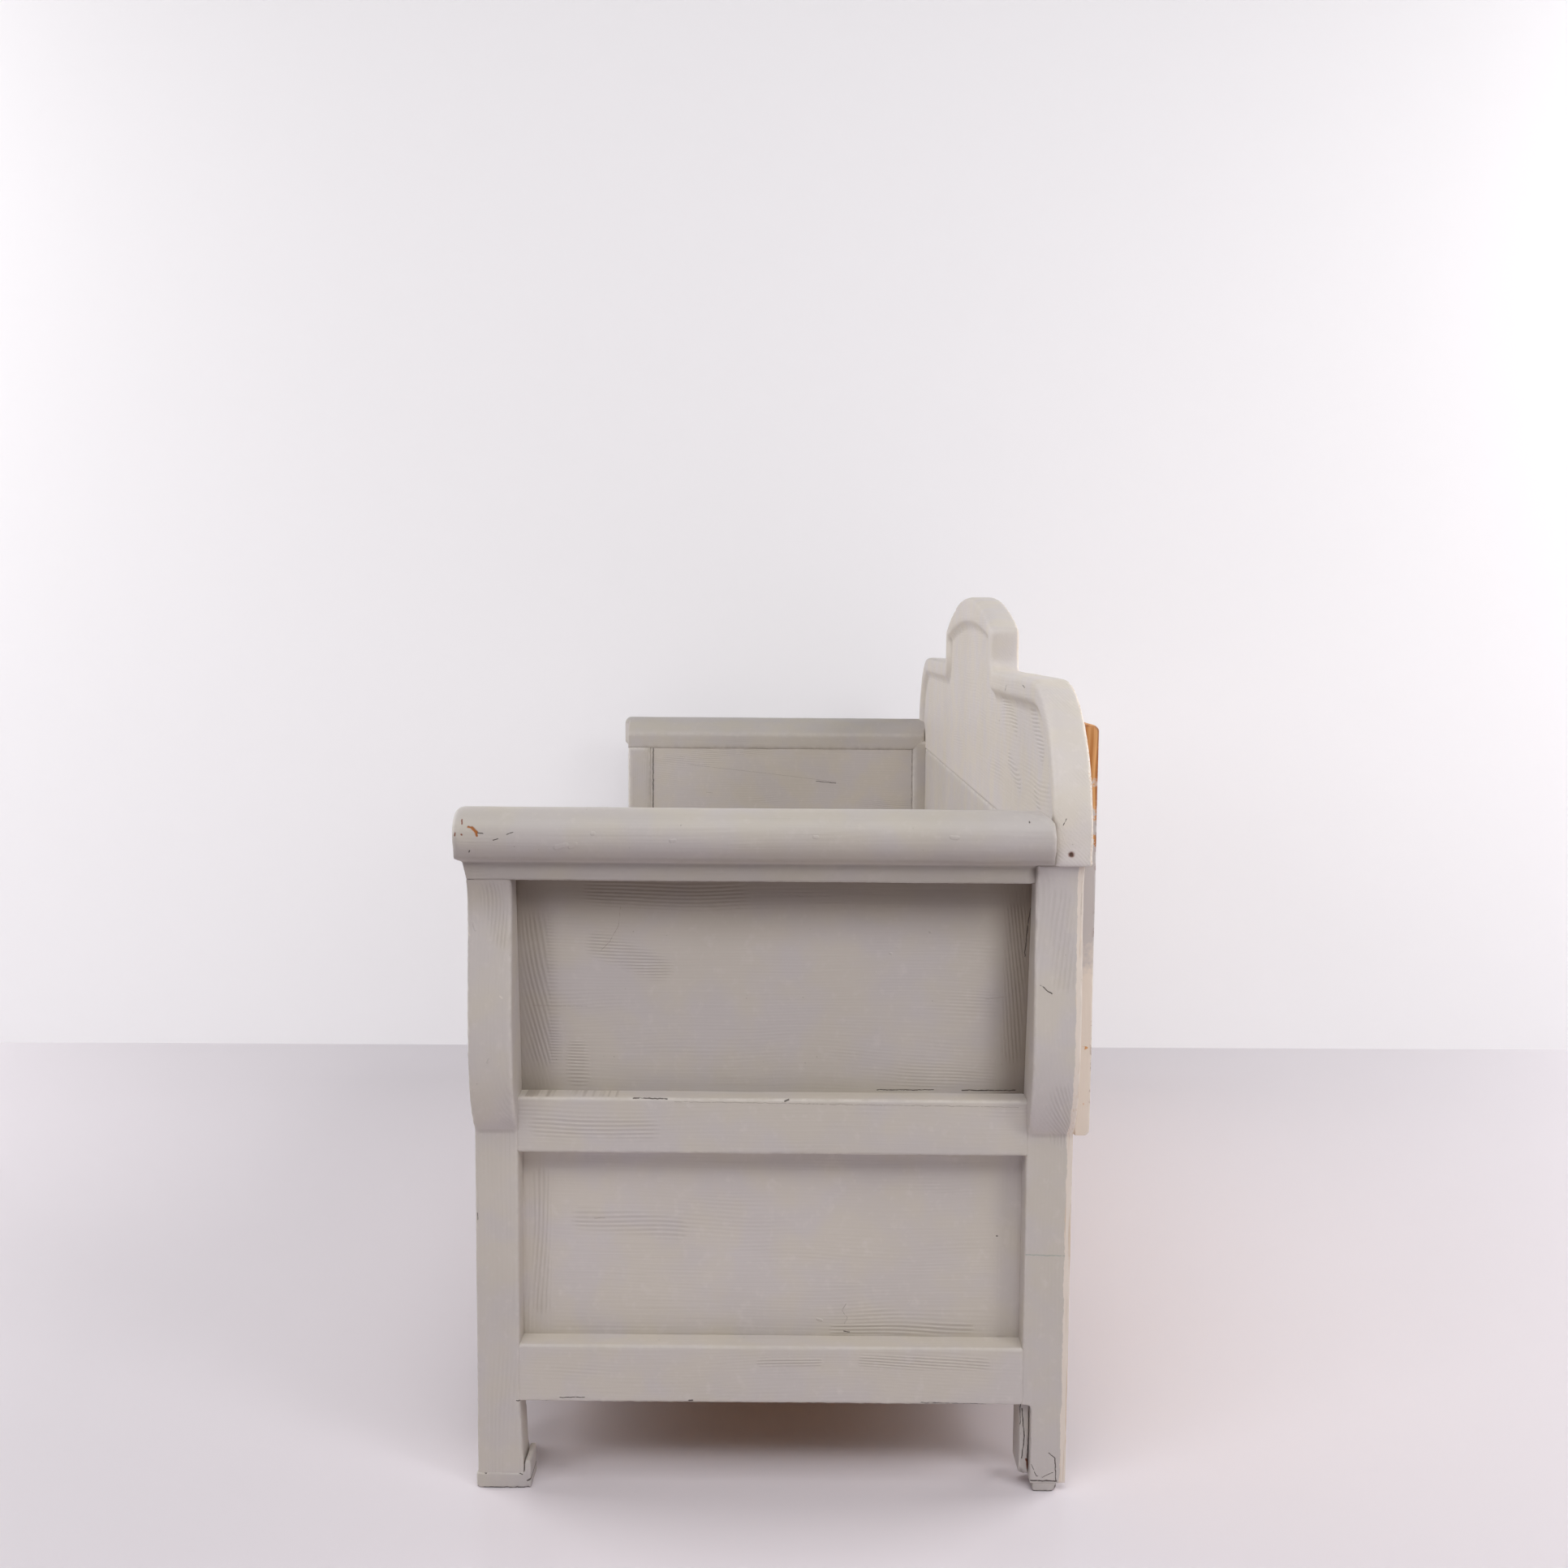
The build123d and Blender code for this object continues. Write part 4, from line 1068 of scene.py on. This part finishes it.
def slat_tree():
    """A row of eased slats, each a little out of line with the next."""
    inputs = {"Points": "Geometry", "First": "Vector", "Step": "Vector", "Count": "Int", "Width": "Float",
              "Thickness": "Float", "Length": "Float", "Easing": "Float", "Seed": "Int", "Pine": "Material"}
    tree, node, given = new_group("eased_slats", "Geometry", inputs, {"Slats": "Geometry"})
    sizes = {"Width": given["Width"], "Height": given["Thickness"]}
    outline = node("GeometryNodeCurvePrimitiveQuadrilateral", **sizes)
    easing = {"Radius": given["Easing"], "Count": 2, "Limit Radius": True}
    rounded = node("GeometryNodeFilletCurve", Curve=outline, mode="POLY", **easing)
    half = node("Math.MULTIPLY", given["Length"], 0.5)
    start, end = [node("CombineXYZ", Z=reach) for reach in (node("Math.MULTIPLY", half, -1.0), half)]
    run = node("GeometryNodeCurvePrimitiveLine", Start=start, End=end)
    slat = node("GeometryNodeCurveToMesh", Curve=run, **{"Profile Curve": rounded, "Fill Caps": True})
    line = {"Count": given["Count"], "Start Location": given["First"], "Offset": given["Step"]}
    row = node("GeometryNodeMeshLine", mode="OFFSET", **line)
    lean = node("FunctionNodeRandomValue", -0.003, 0.003, Seed=given["Seed"], data_type="FLOAT")
    upright = node("CombineXYZ", X=math.pi / 2, Z=lean)
    slats = node("GeometryNodeInstanceOnPoints", Points=row, Instance=slat, Rotation=upright)
    real = node("GeometryNodeRealizeInstances", slats)
    node("NodeGroupOutput", node("GeometryNodeSetMaterial", Geometry=real, Material=given["Pine"]))
    return tree


class BENCH_OT_slats(bpy.types.Operator):
    """Makes both sets of slats, and the rails, ledgers and boards that carry them"""

    bl_idname = "bench.slats"
    bl_label = "Slats and rails"

    def execute(self, context):
        nails = context.scene.bench_nails
        fixed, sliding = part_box("fixed_slats"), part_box("sliding_slats")
        pitch = sliding[0].x - fixed[0].x
        width = fixed[1].x - fixed[0].x - 2 * pitch * (nails.slat_count - 1)
        tree = slat_tree()
        for order, (node, (low, high)) in enumerate((("fixed_slats", fixed), ("sliding_slats", sliding))):
            middle = (low + high) / 2
            values = {
                "First": (low.x + width / 2, middle.y, middle.z), "Step": (2 * pitch, 0.0, 0.0),
                "Count": nails.slat_count, "Width": width, "Thickness": high.z - low.z,
                "Length": high.y - low.y - 1.5 * MM, "Easing": nails.slat_easing, "Seed": 7 + order,
                "Pine": finish_of("raw_y"),
            }
            place_piece(nodes_piece(f"planed_{node}", tree, values), node, "raw_y")
        nodes = [
            "front_cross_rail", "rear_ledger", "bed_front_ledger", "bed_rear_crossbar", "rear_bottom_rail",
            "box_back_board", "seat_back_rail",
        ]
        nodes += [f"{side}_bed_side_board" for side in SIDES]
        for node in nodes:
            planed_piece(node, "raw_y" if "side_board" in node else "raw_x")
        return {"FINISHED"}


class BENCH_OT_seat(bpy.types.Operator):
    """Makes the seat lid, its cleats and the fixed board behind it"""

    bl_idname = "bench.seat"
    bl_label = "Seat"

    def execute(self, context):
        grain = context.scene.bench_surface.board_grain
        for order, node in enumerate(("lid_front_plank", "lid_rear_plank", "rear_seat_board")):
            painted_piece(node, "paint_x", grain, seed=120 + order)
        planed_piece("lid_cleats", "raw_y")
        return {"FINISHED"}


class BENCH_OT_hinges(bpy.types.Operator):
    """Makes the iron hinges of the lid and their nails"""

    bl_idname = "bench.hinges"
    bl_label = "Hinges"

    def execute(self, context):
        for node in ("hinge_leaves_fixed", "hinge_leaves_lid", "hinge_pins"):
            made = eased_copy(f"forged_{node}", node, 0.4 * MM)
            place_piece(made, node, "iron")
        nails = context.scene.bench_nails
        fixed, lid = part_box("hinge_leaves_fixed"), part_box("hinge_leaves_lid")
        leaf_top = fixed[0].z + 2 * MM
        spots = ((-20 * MM, 7 * MM), (20 * MM, 7 * MM), (0.0, 19 * MM))
        jobs = (("hinge_leaves_fixed", fixed[1].y, -1), ("hinge_leaves_lid", lid[0].y, 1))
        for node, edge, inward in jobs:
            low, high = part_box(node)
            middles = (low.x + 30 * MM, 0.0, high.x - 30 * MM)
            points = [(x + across, edge + inward * deep, leaf_top) for x in middles for across, deep in spots]
            sizes = nails.hinge_head_radius, nails.hinge_head_height
            made = forged_nails(f"forged_nails_{node}", points, *sizes, (0.0, 0.0, 1.0), 11)
            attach(made, BODY_OF[node])
        return {"FINISHED"}


class BENCH_OT_stage(bpy.types.Operator):
    """Makes the floor, the wall, the lamps and the camera"""

    bl_idname = "bench.stage"
    bl_label = "Stage"

    def execute(self, context):
        stage = context.scene.bench_stage
        scene = context.scene
        scene.view_settings.view_transform = "Standard"

        def sheet(name, corners, material):
            mesh = bpy.data.meshes.new(name)
            mesh.from_pydata(corners, [], [(0, 1, 2, 3)])
            mesh.materials.append(material)
            made = new_object(name, mesh)
            return made

        def paleness(node, place, near, far, low, high):
            """A level that rises from low to high between two distances from the bench."""
            reach = node("VectorMath.LENGTH", place)
            rise = node("MapRange", reach, near, far, low, high, interpolation_type="SMOOTHSTEP")
            return node("Math.MULTIPLY", seen_plainly(node), rise)

        # pale vinyl, rolled smooth: a soft reflection and the full shadow of the bench
        vinyl, node, place = new_material("smooth_vinyl_floor")
        cloud = node("TexNoise", Vector=place, Scale=1.1, Detail=3.0)
        sheen = {"Roughness": node("MapRange", cloud, 0.0, 1.0, 0.28, 0.32), "Specular IOR Level": 0.4}
        glow = node("Emission", stage.wall[:], paleness(node, place, 1.7, 4.2, 0.0, 0.78))
        skin = node("BsdfPrincipled", stage.floor[:], **sheen)
        node("OutputMaterial", node("AddShader", skin, glow))
        sheet("floor", [(-8, -9, 0), (9, -9, 0), (9, 9, 0), (-8, 9, 0)], vinyl)

        # matt wall paint: shown at its own level to the camera and in reflections, seen from its front only
        matt, node, place = new_material("matt_wall_paint")
        glow = node("Emission", stage.wall[:], paleness(node, place, 2.7, 5.0, stage.wall_glow, 0.88))
        front = node("AddShader", glow, node("BsdfDiffuse", (0.62, 0.61, 0.62, 1.0)))
        behind = node("NewGeometry").outputs["Backfacing"]
        node("OutputMaterial", node("MixShader", behind, front, node("BsdfTransparent")))
        turn = 0.1125  # how far each end of the wall stands before or behind its middle
        near, far = turn - stage.wall_distance, -turn - stage.wall_distance
        wall = sheet("wall", [(near, -9, 0), (far, 9, 0), (far, 9, 9), (near, -9, 9)], matt)
        wall.visible_shadow = False
        wall.visible_diffuse = False

        world = bpy.data.worlds.new("studio")
        world.use_nodes = True
        world.node_tree.nodes.clear()
        node = partial(add, world.node_tree)
        light = node("Background", (1.0, 1.0, 1.0, 1.0), stage.world_level)
        seen = node("Background", stage.wall[:], 1.0)
        node("OutputWorld", node("MixShader", seen_plainly(node), light, seen))
        scene.world = world

        aim = Vector((0.2, 0.0, 0.4))
        lamps = (
            ("top_softbox", (2.2, 0.0, 2.8), 2.0, stage.top_power),
            ("key_softbox", (2.54, 1.95, 2.05), 0.9, stage.key_power),
            ("fill_softbox", (2.54, -1.95, 2.05), 0.9, stage.fill_power),
            ("front_softbox", (-0.4, -2.8, 1.7), 2.0, stage.front_power),
            ("rear_softbox", (-0.4, 2.8, 1.7), 2.0, stage.rear_power),
        )
        for name, spot, size, watts in lamps:
            lamp = bpy.data.lights.new(name, "AREA")
            lamp.shape = "SQUARE"
            lamp.size = size
            lamp.energy = watts
            made = new_object(name, lamp)
            made.location = spot
            made.rotation_euler = (aim - Vector(spot)).to_track_quat("-Z", "Y").to_euler()

        lens = bpy.data.cameras.new("camera")
        lens.sensor_width = 36.0
        lens.lens = stage.camera_lens
        lens.clip_start, lens.clip_end = 0.05, 60.0
        camera = new_object("camera", lens)
        right = (-0.00345, 0.99997, 0.00717)
        up = (-0.09065, -0.00745, 0.99585)
        back = (0.99588, 0.00279, 0.09068)
        pose = Matrix((right, up, back)).transposed().to_4x4()
        pose.translation = (2.5764, 0.00445, 0.9104)
        camera.matrix_world = pose
        scene.camera = camera
        return {"FINISHED"}


OPERATORS = (
    BENCH_OT_stage, BENCH_OT_end_frames, BENCH_OT_arms, BENCH_OT_feet, BENCH_OT_back, BENCH_OT_battens,
    BENCH_OT_bed_front, BENCH_OT_slats, BENCH_OT_seat, BENCH_OT_hinges,
)
GROUPS = {
    "bench_paint": BenchPaint, "bench_timber": BenchTimber, "bench_surface": BenchSurface,
    "bench_nails": BenchNails, "bench_stage": BenchStage,
}


class BENCH_PT_panel(bpy.types.Panel):
    """Lists the pieces of the bench bed and their sizes"""

    bl_idname = "BENCH_PT_panel"
    bl_label = "Bench bed"
    bl_space_type = "VIEW_3D"
    bl_region_type = "UI"
    bl_category = "Bench bed"

    def draw(self, context):
        for name, group in GROUPS.items():
            box = self.layout.box()
            for setting in group.__annotations__:
                box.prop(getattr(context.scene, name), setting)
        for operator in OPERATORS:
            self.layout.operator(operator.bl_idname)


def register():
    for group in GROUPS.values():
        bpy.utils.register_class(group)
    for name, group in GROUPS.items():
        setattr(bpy.types.Scene, name, PointerProperty(type=group))
    for operator in OPERATORS:
        bpy.utils.register_class(operator)
    bpy.utils.register_class(BENCH_PT_panel)


def unregister():
    bpy.utils.unregister_class(BENCH_PT_panel)
    for operator in reversed(OPERATORS):
        bpy.utils.unregister_class(operator)
    for name in GROUPS:
        delattr(bpy.types.Scene, name)
    for group in reversed(GROUPS.values()):
        bpy.utils.unregister_class(group)


def main():
    register()
    for operator in OPERATORS:
        getattr(bpy.ops.bench, operator.bl_idname.partition(".")[2])()


if __name__ == "__main__":
    main()
